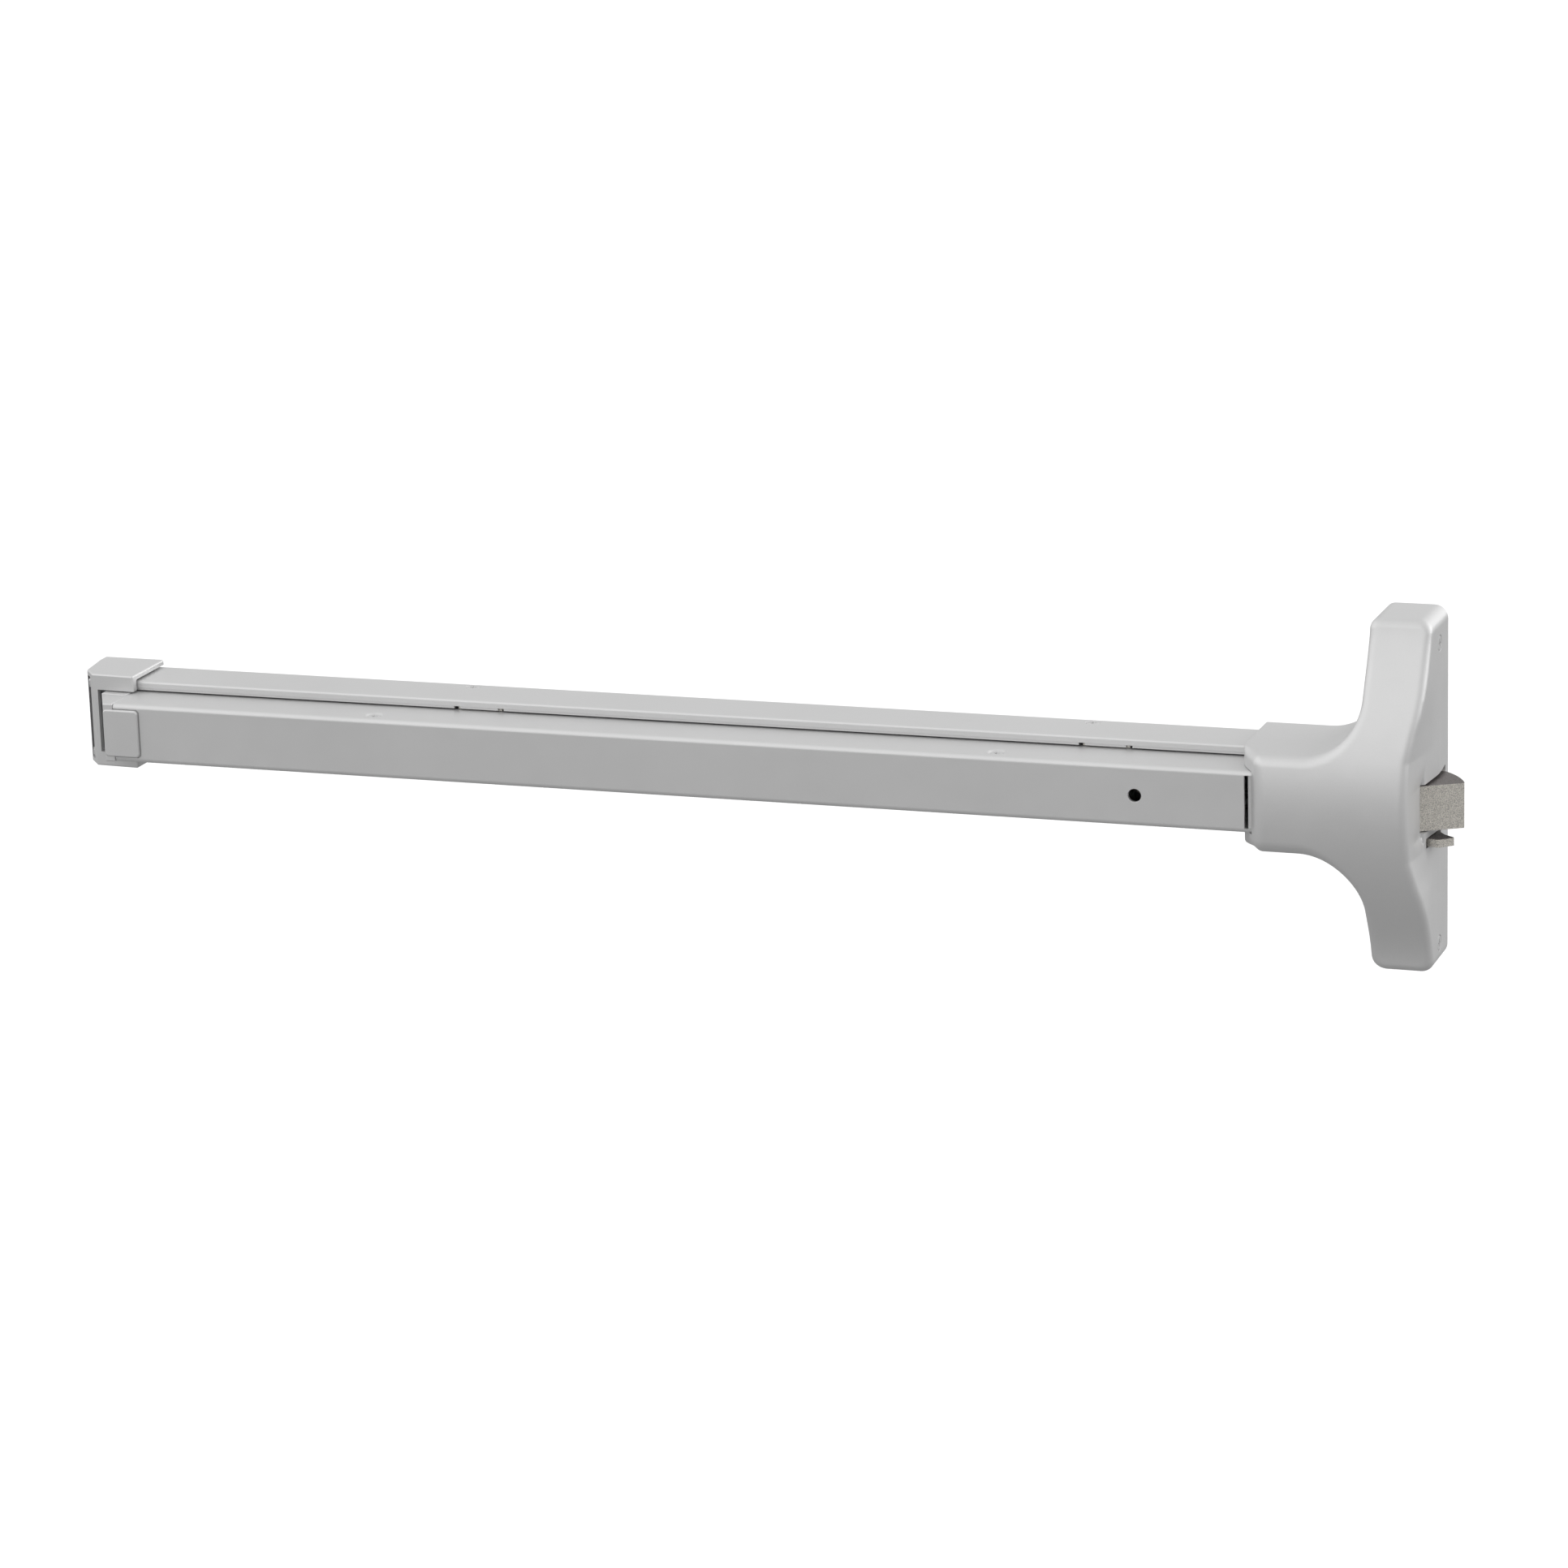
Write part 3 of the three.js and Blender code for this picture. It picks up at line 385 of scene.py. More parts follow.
LOOK_OF = {
    "painted_aluminium": "paint",
    "painted_casting": "cast_paint",
    "painted_screw": "screw_paint",
    "cast_steel": "sintered",
    "zinc_plate": "plated",
    "spring_steel": "spring",
    "nylon": "nylon",
    "rubber": "rubber",
}


# ------------------------------------------------------------------ rail
RAIL_WALL = 2.4
RAIL_LIP = 19.8  # half the width of the opening between the lips
LIP_STEP = (1.5, 0.45)  # height and depth of the rebate along each lip's edge
NOTCH = (4.0, 1.7)  # width and height of the glides' snap notches
SEAT = {"wide": 4.75, "narrow": 2.5, "depth": 2.6, "straight": 0.5}  # of the rail screws
SPLICE_BORE = 2.3


def rail():
    """An extruded channel with rebated lips, notched for the glides and drilled for the screws."""
    half, depth = RAIL.z1, -RAIL.y0
    step_tall, step_deep = LIP_STEP
    corners = mirrored([
        (0, half, 1.0), (-depth, half, 1.5), (-depth, RAIL_LIP + step_tall, 0.2),
        (step_deep - depth, RAIL_LIP + step_tall, 0.15), (step_deep - depth, RAIL_LIP, 0.3),
        (RAIL_WALL - depth, RAIL_LIP, 0.3), (RAIL_WALL - depth, half - RAIL_WALL, 0.5),
        (-RAIL_WALL, half - RAIL_WALL, 0.8),
    ])
    obj = prism("x", fillet(corners), RAIL.x0, RAIL.x1)
    wide, tall = NOTCH
    tools = []
    for side in ("left", "right"):
        glide = Box(f"glide_upper_{side}")
        for x in (glide.x0, glide.x1):
            for s in (1, -1):
                z = sorted((s * (RAIL_LIP - 1), s * (RAIL_LIP + tall)))
                tools.append(block(x - wide / 2, x + wide / 2, -depth - 1, RAIL_WALL - depth + 0.4, *z))
        screw = Box(f"rail_screw_upper_{side}")
        for s in (1, -1):
            tools.append(countersink((screw.x, screw.y), s, half, **SEAT))
    for node in ("splice_screw_upper", "splice_screw_lower"):
        tools.append(cylinder("y", (Box(node).x, 0, Box(node).z), SPLICE_BORE, -RAIL_WALL - 1, 1, 24))
    cut(obj, tools)
    return stands_for(smooth(obj), "rail_channel")


def countersink(at, s, top, wide, narrow, depth, straight):
    """A tool for a screw's seat in a face at height s * top, seen from outside."""
    x, y = at
    profile = [
        (0, top - depth - 6), (narrow, top - depth - 6), (narrow, top - depth), (wide - 0.35, top - straight),
        (wide, top - 0.12), (wide + 0.35, top + 0.05), (wide + 0.35, top + 1), (0, top + 1),
    ]
    return turned("z", (x, y, 0), [(r, s * w) for r, w in profile], 48)


# ------------------------------------------------------------------ push bar
BAR_WALL = 2.2
BAR_ROUND = 3.0
BAR_END = -822.6  # where the bar meets its end pad
FACE_END = -86.1  # where the bar's face stops short of the head
FACE_STEP = 0.4  # how far short of the bar's inside the opening past its face stops
KEY_HOLE = 4.0
PAD_GROOVE = 0.4  # width of the groove round the pad, above and below it
STEM_HOLE = 14.3  # half the height of the opening that the pad is set in
DIMPLE = {"rim": 6.3, "cone": 4.6, "drop": 0.8}  # radii and depth of the dish round each bar screw


def push_bar():
    """An extruded channel that opens towards the door, cut back at both ends, with a key hole."""
    half, front, back = BAR.z1, BAR.y0, BAR.y1
    inside = half - BAR_WALL
    corners = mirrored([
        (front, half, BAR_ROUND), (back, half, 0.4), (back, inside, 0.4), (front + BAR_WALL, inside, 1.0),
    ])
    obj = prism("x", fillet(corners, 8), BAR.x0, BAR.x1)
    face_half = inside - FACE_STEP
    key_x = Box("dogging_catch").x
    key = [
        (0, front + 5), (KEY_HOLE, front + 5), (KEY_HOLE, front + 0.35), (KEY_HOLE + 0.15, front + 0.1),
        (KEY_HOLE + 0.4, front - 0.05), (KEY_HOLE + 0.4, front - 1), (0, front - 1),
    ]
    tools = [
        block(BAR.x0 - 1, BAR_END, front - 1, 0, -half - 1, half + 1),
        prism("y", fillet([
            (FACE_END, face_half, 0.5), (BAR.x1 + 1, face_half, 0),
            (BAR.x1 + 1, -face_half, 0), (FACE_END, -face_half, 0.5),
        ]), front - 1, front + 6),
        block(BAR.x0 - 1, PAD.x1 - 1.8, front - 1, front + BAR_WALL + 1, -STEM_HOLE, STEM_HOLE),
        rounded_slab(
            PAD_LEFT, PAD.x1 + 0.7, PAD_HALF + PAD_GROOVE, PAD_RADIUS, front + PAD_SET, front - 1, 0.1
        ),
        turned("y", (key_x, 0, 0), key, 64),
    ]
    for side in ("left", "right"):
        screw = Box(f"bar_screw_upper_{side}")
        for s in (1, -1):
            tools.append(dimple((screw.x, screw.y), s, half))
    cut(obj, tools)
    return stands_for(smooth(obj), "push_bar")


def dimple(at, s, top):
    """The dished seat of a bar screw: a soft outer rim, a cone, and a hole."""
    x, y = at
    rim, cone, drop = DIMPLE.values()
    profile = [(0, top - 8), (2.1, top - 8), (2.1, top - 2.3), (4.2, top - 1.0), (cone, top - drop)]
    profile += [(cone + (rim - cone) * t, top - drop * (1 - t) ** 1.7) for t in (0.2, 0.4, 0.6, 0.8, 0.95)]
    profile += [(rim + 0.3, top + 0.05), (rim + 0.3, top + 1), (0, top + 1)]
    return turned("z", (x, y, 0), [(r, s * w) for r, w in profile], 64)


# ------------------------------------------------------------------ moulded end of the bar
PAD_LEFT = -829.3  # left edge of the raised face
PAD_RADIUS = 2.5
PAD_HALF = 15.3
PAD_SET = 0.9  # how far the raised face reaches back into the bar's face
PAD_EDGE = 1.1  # the round along its edge
PAD_BACK = -31
PLUG_HALF = 16.4  # half the height of the plug inside the bar
STEM_HALF = 14.0
PLATEAU = 0.45  # height of the flats on the pad's top and bottom


def rounded_slab(x0, x1, half, radius, back, front, edge, name="tool"):
    """A plate in the x-z plane with rounded corners, its front edge rounded by edge."""
    turn = 6
    rings = [(back, 0.0)]
    for k in range(turn + 1):
        t = math.pi / 2 * k / turn
        rings.append((front + edge * (1 - math.sin(t)), edge * (1 - math.cos(t))))
    verts = []
    for y, inset in rings:
        r = radius - inset
        outline = fillet([
            (x1 - inset, half - inset, r), (x0 + inset, half - inset, r),
            (x0 + inset, inset - half, r), (x1 - inset, inset - half, r),
        ], 8)
        verts += [(x, y, z) for x, z in outline]
    count = len(verts) // len(rings)
    faces = [list(range(count)), list(range(len(verts) - count, len(verts)))]
    for k in range(len(rings) - 1):
        for i in range(count):
            j = (i + 1) % count
            faces.append([k * count + i, k * count + j, (k + 1) * count + j, (k + 1) * count + i])
    return new_object(name, verts, faces)


def end_pad():
    """A moulded end with a slanted left face, a plug inside the bar, and a raised face in front of it."""
    front, half = BAR.y0, BAR.z1
    end = BAR_END - 0.3
    obj = prism("z", [
        (PAD.x0, PAD_BACK), (PAD.x0, -48), (PAD_LEFT, front - 0.6), (end, front - 0.6), (end, PAD_BACK),
    ], -half, half)
    bevel(obj, 0.9, 4, 20)
    inner = front + BAR_WALL + 0.3
    plug_end = BAR.x0 + 26
    plug = prism("z", [
        (BAR_END - 2, -40), (BAR_END - 2, inner), (plug_end, inner), (plug_end, -58), (BAR_END + 0.5, -40),
    ], -PLUG_HALF, PLUG_HALF)
    stem = block(BAR.x0 + 14, PAD.x1 - 2.1, front - 0.5, front + 12, -STEM_HALF, STEM_HALF)
    face = rounded_slab(PAD_LEFT, PAD.x1, PAD_HALF, PAD_RADIUS, front + PAD_SET, PAD.y0, PAD_EDGE)
    for part in (plug, stem, face):
        boolean(obj, part, "UNION")
    for s in (1, -1):
        z = sorted((s * (half - 1), s * (half + PLATEAU)))
        left, right = PAD.x0 + 0.9, BAR_END - 0.7
        plateau = prism("z", [
            (left, -41), (left, -50), (right - 2, -50.5), (right, -47), (right, -41),
        ], *z)
        bevel(plateau, 0.4, 3, 30)
        boolean(obj, plateau, "UNION")
    return stands_for(smooth(obj, 40), "push_bar_end_pad")


# ------------------------------------------------------------------ end cap
CAP_WALL = 3.5
CAP_GAP = 1.4  # clearance round the rail
CAP_SLOT = (-846.6, -20.9, 20.0)  # left edge, bottom and top of the opening in the front
CAP_BEVEL = 1.2


def end_cap():
    """A box with a slanted outer corner, open at the door and round the rail and the bar."""
    left, right, half, depth = CAP.x0, CAP.x1, CAP.z1, -CAP.y0
    outline = [(left, 3), (left, -8), (left + 3.6, -34), (left + 12, -44.2), (right, -depth), (right, 3)]
    obj = prism("z", outline, -half, half)
    bevel(obj, CAP_BEVEL, 5, 20)
    inner = RAIL.z1 + CAP_GAP
    inner_front = RAIL.y0 - CAP_GAP
    bore = prism("x", fillet([
        (1, inner, 0), (1, -inner, 0), (inner_front, -inner, 1.2), (inner_front, inner, 1.2),
    ]), left + CAP_WALL, right + 1)
    slot_left, slot_low, slot_high = CAP_SLOT
    slot = prism("y", fillet([
        (slot_left, slot_high, 0.6), (right + 1, slot_high, 0),
        (right + 1, slot_low, 0), (slot_left, slot_low, 0.6),
    ]), -depth - 2, RAIL.y0)
    behind = block(left - 5, right + 5, 0, 10, -half - 5, half + 5)
    tools = [bore, slot, behind]
    for level in ("upper", "lower"):
        screw = Box(f"end_cap_screw_{level}")
        profile = [
            (0, screw.x0 - 1), (3.75, screw.x0 - 1), (3.75, left - 0.05), (3.4, left + 0.15),
            (3.1, left + 0.6), (2, left + 2.2), (2, left + 9), (0, left + 9),
        ]
        tools.append(turned("x", (0, screw.y, screw.z), profile, 40))
    cut(obj, tools)
    return stands_for(smooth(obj, 35), "end_cap")


# ------------------------------------------------------------------ head cover
WING_LEFT = -17.5
WING_CORNER = (6.0, 9.0)  # at the upper tip and at the lower one
BOSS_TOP, BOSS_BOTTOM = 30.5, 30.1
SWEEP = (33.0, 37.0)  # radius of the hollow curve between the boss and the upper wing, and the lower one
COVER_WALL = 2.8
FRONT_FIT = {  # control points of the depth along z, from each wing's tip to the middle
    "upper": ((104.0, 78.0, 52.0, 0.0), (44.5, 52.0, 82.0, 82.0)),
    "lower": ((-104.0, -78.0, -51.0, 0.0), (42.0, 45.0, 82.0, 82.0)),
}
TIP_SLOPE = 0.4  # how much shallower each wing gets per mm, past those control points
PLAN_FIT = {  # control points of the depth along x, round the boss's left end
    "x": (-91.0, -90.5, -82.0, -72.0),
    "depth": (50.0, 62.0, 70.0, 90.0),
}
# how much the right side leans in for each mm of depth past its straight part, by height
SIDE_LEAN = ((0, 0.125), (30, 0.125), (45, 0.08), (55, 0.04), (65, 0.01), (72, 0.0))
SIDE_STRAIGHT = 24.0
SIDE_FILLET = 5.0
SIDE_CORNER = {"from": 60, "tip": 8.0, "middle": 1.0}  # the round between the side and a tip
TIP_FILLET = (4.6, 6.0)
LEFT_FILLET = 5.0
BOSS_FILLET = (6.0, 9.0)  # along its top and its bottom
END_FILLET = (48, 66)  # depths between which the boss's edges go from sharp to rounded, at its left end
END_REACH = (14, 24)  # and how far from that end they are rounded at every depth
TO_SIDE = (-12, 14)  # x between which the left fillets turn into the side's
TO_TIP = (96, 104)  # heights between which the fillets turn into the tips'
# the slanted pocket in front of the latch: its floor starts at the latch's way and rises to meet the side
RECESS = {"back": -49, "floor": 14.3, "slope": 0.03, "bottom": -20, "top": 10, "fade": 0.3, "edge": 1.5}
BLEND = 4.0  # radius between the cover's front and the plan curve of the boss's end
CELL = 0.9  # size of the cells that the cover's outside is sampled in
CURVE = np.linspace(0, 1, 400)
TONGUE = -84.0  # left edge of the guard behind the slot at the bar's end
TONGUE_HALF = 16.2
BAR_WAY = -74  # right end of the opening that the bar moves in
LATCH_GAP = 0.6


def bezier(points, t):
    a, b, c, d = points
    return a * (1 - t) ** 3 + 3 * b * (1 - t) ** 2 * t + 3 * c * (1 - t) * t**2 + d * t**3


def front_half(half):
    z, depth = FRONT_FIT[half]
    tip = (z[0] * 1.2, depth[0] - abs(z[0]) * 0.2 * TIP_SLOPE)
    return [tip] + list(zip(bezier(z, CURVE), bezier(depth, CURVE)))


FRONT_LINE = front_half("lower") + front_half("upper")[::-1][1:]
PLAN_X = bezier(PLAN_FIT["x"], CURVE)
PLAN_DEPTH = bezier(PLAN_FIT["depth"], CURVE)


def distance(u, v, line):
    """How far each point (u, v) is from a chain of points."""
    best = np.full(np.broadcast(u, v).shape, np.inf)
    for (a, b), (c, d) in zip(line, line[1:]):
        along_u, along_v = c - a, d - b
        t = np.clip(((u - a) * along_u + (v - b) * along_v) / (along_u**2 + along_v**2), 0, 1)
        best = np.minimum(best, np.hypot(u - a - t * along_u, v - b - t * along_v))
    return best


def both(a, b, radius):
    """The field of what lies inside both fields, their edge rounded by radius."""
    corner = np.hypot(np.maximum(a + radius, 0), np.maximum(b + radius, 0))
    return np.minimum(-radius, np.maximum(a, b)) + corner


def either(a, b, radius):
    """The field of what lies inside one field or the other, with a hollow fillet between them."""
    corner = np.hypot(np.maximum(radius - a, 0), np.maximum(radius - b, 0))
    return np.maximum(radius, np.minimum(a, b)) - corner


def rise(value, start, end):
    """A smooth step from 0 at start to 1 at end."""
    t = np.clip((value - start) / (end - start), 0, 1)
    return t * t * (3 - 2 * t)


def cover_field(x, y, z):
    """Signed distance to the cover's outside, negative inside, for broadcast coordinates."""
    depth, across = -y, np.abs(z)
    beyond = np.where(depth > np.interp(z, *zip(*FRONT_LINE)), 1.0, -1.0)
    front = beyond * distance(z, depth, FRONT_LINE)
    plan_line = [(HEAD.x0, -20)] + list(zip(PLAN_X, PLAN_DEPTH)) + [(40, PLAN_DEPTH[-1] + 40)]
    outside = (x < HEAD.x0) | (depth > np.interp(x, *zip(*plan_line[1:])))
    plan = np.where(outside, 1.0, -1.0) * distance(x, depth, plan_line)
    boss_half = np.where(z > 0, BOSS_TOP, BOSS_BOTTOM)
    outline = either(WING_LEFT - x, across - boss_half, np.where(z > 0, *SWEEP))
    outline = both(outline, across - HEAD.z1, np.where(z > 0, *WING_CORNER))
    lean = np.interp(across, *zip(*SIDE_LEAN)) * np.maximum(depth - SIDE_STRAIGHT, 0)
    side = x - HEAD.x1 + lean
    floor_x = RECESS["floor"] + (depth + RECESS["back"]) * RECESS["slope"]
    floor_x = floor_x + RECESS["fade"] * np.maximum(np.maximum(z - RECESS["top"], RECESS["bottom"] - z), 0)
    pocket = np.maximum(floor_x - x, -RECESS["back"] - depth)
    side = both(side, -pocket, RECESS["edge"])
    corner = np.where(across > SIDE_CORNER["from"], SIDE_CORNER["tip"], SIDE_CORNER["middle"])
    outline = both(outline, side, corner)
    to_right = rise(x, *TO_SIDE)
    to_boss = rise(x, WING_LEFT, WING_LEFT - SWEEP[0])
    boss = np.where(z > 0, *BOSS_FILLET)
    rounded = np.maximum(rise(depth, *END_FILLET), rise(x - HEAD.x0, *END_REACH))
    left = (LEFT_FILLET + (boss - LEFT_FILLET) * to_boss) * rounded
    to_tip = rise(across, *TO_TIP)
    radius = left * (1 - to_right) + SIDE_FILLET * to_right
    radius = radius * (1 - to_tip) + np.where(z > 0, *TIP_FILLET) * to_tip
    return both(both(front, plan, BLEND), outline, np.maximum(radius, 0.4))


def cover_forms():
    """Solids of the cover's outside and, one wall further in, of its inside."""
    xs = np.arange(HEAD.x0 - 4, HEAD.x1 + 4, CELL)[:, None, None]
    ys = np.arange(HEAD.y0 - 4, 6, CELL)[None, :, None]
    zs = np.arange(HEAD.z0 - 4, HEAD.z1 + 4, CELL)[None, None, :]
    field = both(cover_field(xs, ys, zs), ys - 3 + 0 * xs + 0 * zs, 0.01)
    grid = vdb.FloatGrid(background=9.0)
    grid.copyFromArray(np.ascontiguousarray(np.clip(field, -9, 9), dtype=np.float32))
    forms = []
    for level in (0.0, -COVER_WALL):
        points, quads = grid.convertToQuads(isovalue=level)
        points = points * CELL + np.array([xs[0, 0, 0], ys[0, 0, 0], zs[0, 0, 0]])
        forms.append(new_object("cover_form", points.tolist(), quads.tolist()))
    return forms


def head_cover():
    """A hollow casting, open at the door, round the rail, in front of the bar and round the two latches."""
    obj, inside = cover_forms()
    right = HEAD.x1
    boolean(obj, inside)
    rail_half, bar_half = RAIL.z1 + 0.3, BAR.z1 + 0.4
    latch, dead = Box("latch_bolt"), Box("deadlatch")
    way = RECESS["back"] - 1.2
    tools = [
        block(HEAD.x0 - 9, right + 9, 0, 9, HEAD.z0 - 9, HEAD.z1 + 9),
        block(HEAD.x0 - 1, HEAD.x0 + COVER_WALL + 6, RAIL.y0 - 0.3, 1, -rail_half, rail_half),
        block(HEAD.x0 - 1, BAR_WAY, BAR.y0 - 0.6, RAIL.y0, -bar_half, bar_half),
        prism("x", [
            (way, latch.z0 - LATCH_GAP), (way, latch.z1 + 1.5), (-30, latch.z1 + 1.9),
            (-16, latch.z1 + 2.5), (-7, latch.z1 + 3.8), (-7, latch.z0 - LATCH_GAP),
        ], right - 10, right + 1),
        block(right - 10, right + 1, -46, -19, dead.z0 - LATCH_GAP, dead.z1 + LATCH_GAP),
    ]
    for node in COVER_SCREWS:
        screw = Box(node)
        s = 1 if screw.x > 0 else -1
        face = right if s > 0 else WING_LEFT
        profile = [
            (0, face + s), (5.1, face + s), (5.1, face + s * 0.05), (4.8, face - s * 0.1),
            (4.75, face - s * 0.6), (2.5, face - s * 2.9), (2.5, face - s * 9), (0, face - s * 9),
        ]
        tools.append(turned("x", (0, screw.y, screw.z), profile, 48))
    cut(obj, tools)
    tongue = prism("z", [
        (TONGUE, -69.2), (TONGUE, -70.8), (-81, -70.8), (-80, -73.2), (-76, -77.5), (-76, -69.2),
    ], -TONGUE_HALF, TONGUE_HALF)
    boolean(obj, tongue, "UNION")
    return stands_for(smooth(obj, 28, weighted=False), "head_cover")


# ------------------------------------------------------------------ screws
COVER_SCREWS = [f"cover_screw_{side}_{level}" for side in ("right", "left") for level in ("upper", "lower")]


def cross_recess(axis, at, top, s, size):
    """The two tapered wings of a cross recess, as tools."""
    tools = []
    deep = size * 0.42
    for turn in (0, 1):
        wide, thin = size / 2, size * 0.12
        corners = [(-wide, -thin), (wide, -thin), (wide, thin), (-wide, thin)]
        verts = []
        for level, share in ((s * 0.3, 1.06), (-s * deep, 0.45)):
            for u, v in corners:
                u, v = (v, u) if turn else (u, v)
                p = along(axis, u * share, v * share, top + level)
                verts.append(tuple(a + b for a, b in zip(p, at)))
        faces = [[0, 1, 2, 3], [4, 5, 6, 7]] + [[i, (i + 1) % 4, 4 + (i + 1) % 4, 4 + i] for i in range(4)]
        tools.append(new_object("tool", verts, faces))
    return tools


def flat_screw(node, axis, s, shank):
    """A countersunk screw with a cross recess, its head at the high or low end of its box."""
    box = Box(node)
    low, high = {"x": (box.x0, box.x1), "y": (box.y0, box.y1), "z": (box.z0, box.z1)}[axis]
    top, tip = (high, low) if s > 0 else (low, high)
    head = {"x": box.tall, "y": box.wide, "z": box.wide}[axis] / 2
    at = {"x": (0, box.y, box.z), "y": (box.x, 0, box.z), "z": (box.x, box.y, 0)}[axis]
    slope = head - shank
    profile = [
        (0, tip), (shank - 0.4, tip), (shank, tip + s * 0.5), (shank, top - s * (0.3 + slope)),
        (head, top - s * 0.3), (head, top - s * 0.12), (head - 0.12, top), (0, top),
    ]
    obj = turned(axis, at, profile, 48)
    cut(obj, cross_recess(axis, at, top, s, head * 1.15))
    return stands_for(smooth(obj, 30), node)


def screws():
    for node in COVER_SCREWS:
        flat_screw(node, "x", 1 if "right" in node else -1, 2.2)
    for level, s in (("upper", 1), ("lower", -1)):
        flat_screw(f"end_cap_screw_{level}", "x", -1, 1.7)
        for side in ("left", "right"):
            flat_screw(f"rail_screw_{level}_{side}", "z", s, 2.2)
            flat_screw(f"bar_screw_{level}_{side}", "z", s, 1.8)


# ------------------------------------------------------------------ latch
LATCH_PIN = tuple(c / MM for c in next(j for j in frame["joints"] if j["name"] == "latch_retract")["pos_m"])
HUB = 5.6
PIN_BORE = 3.3
LINK_BORE = 2.8
TIP_REACH = 12.8  # how far behind the pin the latch's tip is


def quadratic(a, b, c, steps):
    """Points of a quadratic curve, without its first."""
    spots = []
    for k in range(1, steps + 1):
        t = k / steps
        first, second, third = (1 - t) ** 2, 2 * (1 - t) * t, t * t
        spots.append(tuple(first * p + second * q + third * r for p, q, r in zip(a, b, c)))
    return spots


def latch_bolt():
    """A hub with a straight flank to the tip and a hollow curve back from it."""
    box = Box("latch_bolt")
    px, py, _ = LATCH_PIN
    tip = (box.x1, py + TIP_REACH)
    reach = math.hypot(tip[0] - px, TIP_REACH)
    face = math.atan2(TIP_REACH, tip[0] - px) - math.asin(HUB / reach) + math.pi / 2
    start = (px - HUB * math.cos(face), py - HUB * math.sin(face))
    outline = [start, tip, (tip[0] - 0.3, tip[1] + 1.6)]
    outline += quadratic(outline[-1], (31.6, -18), (21.2, -10), 10)
    outline += [(15, -8.9), (px - HUB, py)]
    obj = prism("z", outline, box.z0, box.z1)
    boolean(obj, cylinder("z", (px, py, 0), HUB, box.z0, box.z1, 64), "UNION")
    flatten(obj)
    bevel(obj, 0.4, 3, 40)
    link = Box("latch_link_pin")
    cut(obj, [
        cylinder("z", (px, py, 0), PIN_BORE, box.z0 - 1, box.z1 + 1),
        cylinder("z", (link.x, link.y, 0), LINK_BORE, -2, box.z1 + 1),
    ])
    # its top and bottom faces take the darker sintered copy: painted shade
    return stands_for(smooth(obj, 40), "latch_bolt", painted_shade_ends="sintered_painted_shade")


def deadlatch():
    box = Box("deadlatch")
    px, py, _ = LATCH_PIN
    finger = [
        (px + HUB - 0.5, py + 1.5), (13.8, -41), (17, -43), (23.8, -44.2), (32.1, -37.7), (31.4, -36.2),
        (25.2, -31.8), (21, -26), (18.9, -26), (12, -34), (px, py + HUB - 0.4),
    ]
    obj = prism("z", finger, box.z0, box.z1)
    boolean(obj, cylinder("z", (px, py, 0), HUB, box.z0, box.z1, 64), "UNION")
    flatten(obj)
    bevel(obj, 0.35, 3, 30)
    cut(obj, [cylinder("z", (px, py, 0), PIN_BORE, box.z0 - 1, box.z1 + 1)])
    # its top and bottom faces take the darker sintered copy: painted shade
    return stands_for(smooth(obj, 40), "deadlatch", painted_shade_ends="sintered_painted_shade")


# ------------------------------------------------------------------ works inside
def refined(node, width=0.3, angle=40):
    """A CAD piece with its flat faces joined, its edges broken and its rounds smoothed."""
    source = frame["nodes"][node]
    obj = bpy.data.objects.new(node + "_fine", source.data.copy())
    bpy.context.scene.collection.objects.link(obj)
    flatten(obj, 0.5)
    if width:
        bevel(obj, width, 2, angle)
    return stands_for(smooth(obj, 35), node)


def works():
    """Every CAD piece that has no finer body yet."""
    done = set()
    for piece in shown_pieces():
        done.update(piece.get("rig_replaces", []))
    for node in sorted(frame["nodes"]):
        if node not in done:
            refined(node, 0 if "spring" in node else 0.25)


# ------------------------------------------------------------------ studio
CAMERA = {
    "at": (0.70075, -3.07937, 0.85249),
    "azimuth": 19.659,
    "elevation": 15.053,
    "roll": -1.741,
    "lens": 125.13,
}
LOBES = {  # soft areas of light all round: azimuth, elevation, sharpness and strength
    "left_above": (-55, 45, 3, 1.0),
    "front": (0, 8, 3, 1.07),
    "right_back": (125, 12, 3, 2.75),
    "left": (-100, 12, 3, 0.9),
}
FLOOR_LEVEL = -600
FLOOR_HALF = 40000
FLOOR_BOUNCE = 0.3  # how much light the floor sends back up


def camera():
    data = bpy.data.cameras.new("camera")
    data.sensor_width = 36
    data.lens = CAMERA["lens"]
    data.clip_end = 100
    obj = bpy.data.objects.new("camera", data)
    bpy.context.scene.collection.objects.link(obj)
    azimuth, elevation = math.radians(CAMERA["azimuth"]), math.radians(CAMERA["elevation"])
    turn = Matrix.Rotation(azimuth, 4, "Z") @ Matrix.Rotation(math.pi / 2 - elevation, 4, "X")
    turn = turn @ Matrix.Rotation(math.radians(CAMERA["roll"]), 4, "Z")
    obj.matrix_world = Matrix.Translation(CAMERA["at"]) @ turn
    bpy.context.scene.camera = obj


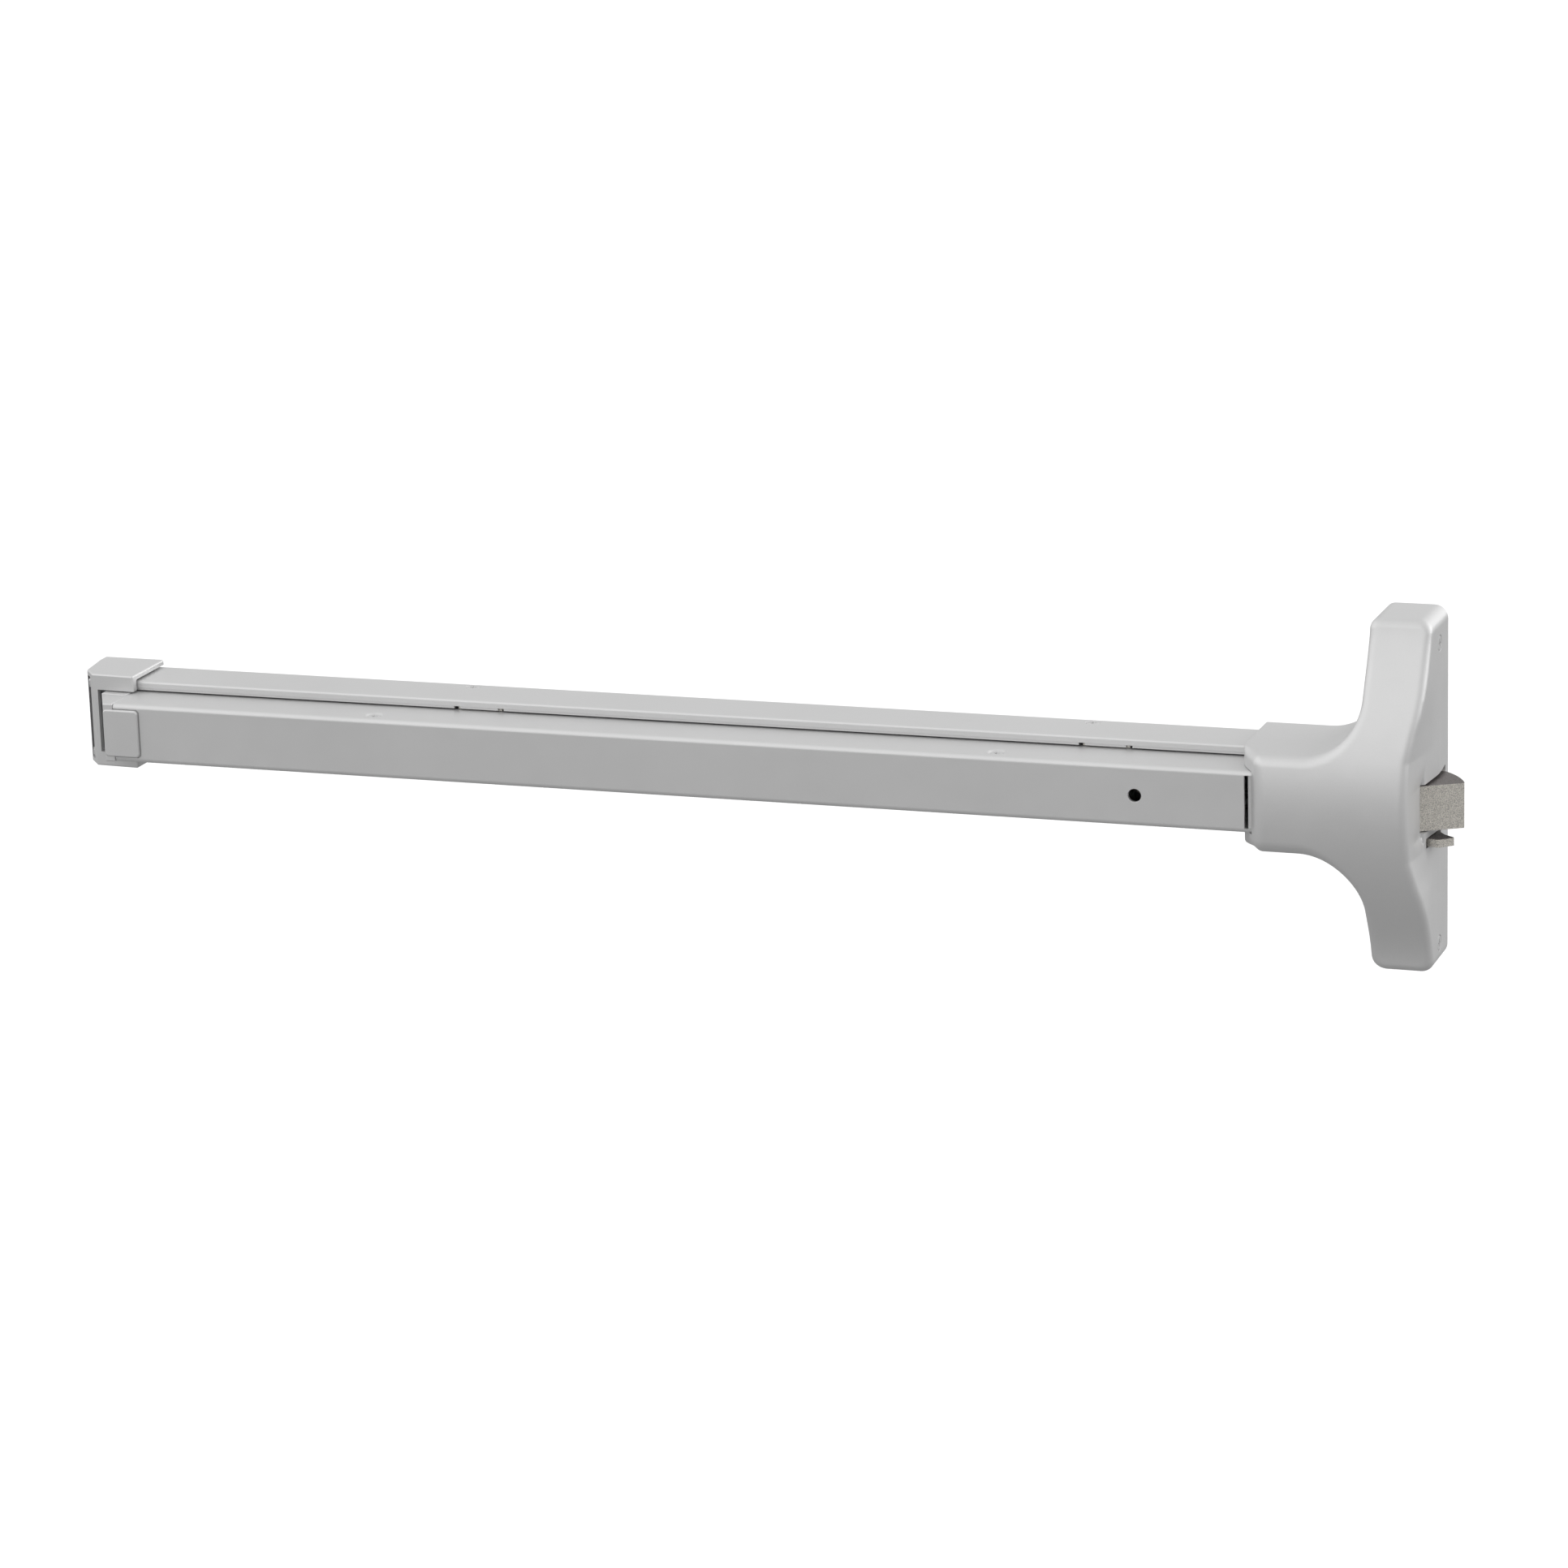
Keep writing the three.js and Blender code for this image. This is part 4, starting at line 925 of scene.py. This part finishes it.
def studio():
    """A world lit by smooth lobes, each strength * exp(sharpness * (cos - 1)) away from its middle."""
    scene = bpy.context.scene
    scene.view_settings.view_transform = "Standard"
    world = bpy.data.worlds.new("studio")
    world.use_nodes = True
    tree = world.node_tree
    place = tree.nodes.new("ShaderNodeTexCoord").outputs["Generated"]

    def maths(operation, *values):
        node = tree.nodes.new("ShaderNodeMath")
        node.operation = operation
        for socket, value in zip(node.inputs, values):
            if isinstance(value, bpy.types.NodeSocket):
                tree.links.new(value, socket)
            else:
                socket.default_value = value
        return node.outputs["Value"]

    total = 0.0
    for azimuth, elevation, sharpness, strength in LOBES.values():
        a, e = math.radians(azimuth), math.radians(elevation)
        dot = tree.nodes.new("ShaderNodeVectorMath")
        dot.operation = "DOT_PRODUCT"
        dot.inputs[1].default_value = (math.sin(a) * math.cos(e), -math.cos(a) * math.cos(e), math.sin(e))
        tree.links.new(place, dot.inputs[0])
        lobe = maths("EXPONENT", maths("MULTIPLY_ADD", dot.outputs["Value"], sharpness, -sharpness))
        total = maths("MULTIPLY_ADD", lobe, strength, total)
    tree.links.new(total, tree.nodes["Background"].inputs["Strength"])
    tree.nodes["Background"].inputs["Color"].default_value = (1, 1, 1, 1)
    scene.world = world


def floor():
    """A pale floor that sends back less light than it shows."""
    half = FLOOR_HALF
    corners = [(-half, -half), (half, -half), (half, half), (-half, half)]
    obj = new_object("floor", [(x, y, FLOOR_LEVEL) for x, y in corners], [[0, 1, 2, 3]])
    n = Nodes("pale_floor")
    seen = n.ramp(n.noise(400, 1), (0.93, 0.93, 0.93), (0.95, 0.95, 0.95))
    choice = n.add("ShaderNodeMix")
    choice.data_type = "RGBA"
    choice.inputs[6].default_value = (*[FLOOR_BOUNCE] * 3, 1)
    n.link(n.add("ShaderNodeLightPath").outputs["Is Camera Ray"], choice.inputs["Factor"])
    n.link(seen, choice.inputs[7])
    n.link(choice.outputs[2], n.shader.inputs["Base Color"])
    n.shader.inputs["Roughness"].default_value = 0.9
    n.shader.inputs["Specular IOR Level"].default_value = 0.1
    obj.data.materials.append(n.material)


rail()
push_bar()
end_pad()
end_cap()
head_cover()
screws()
latch_bolt()
deadlatch()
works()
camera()
studio()
floor()
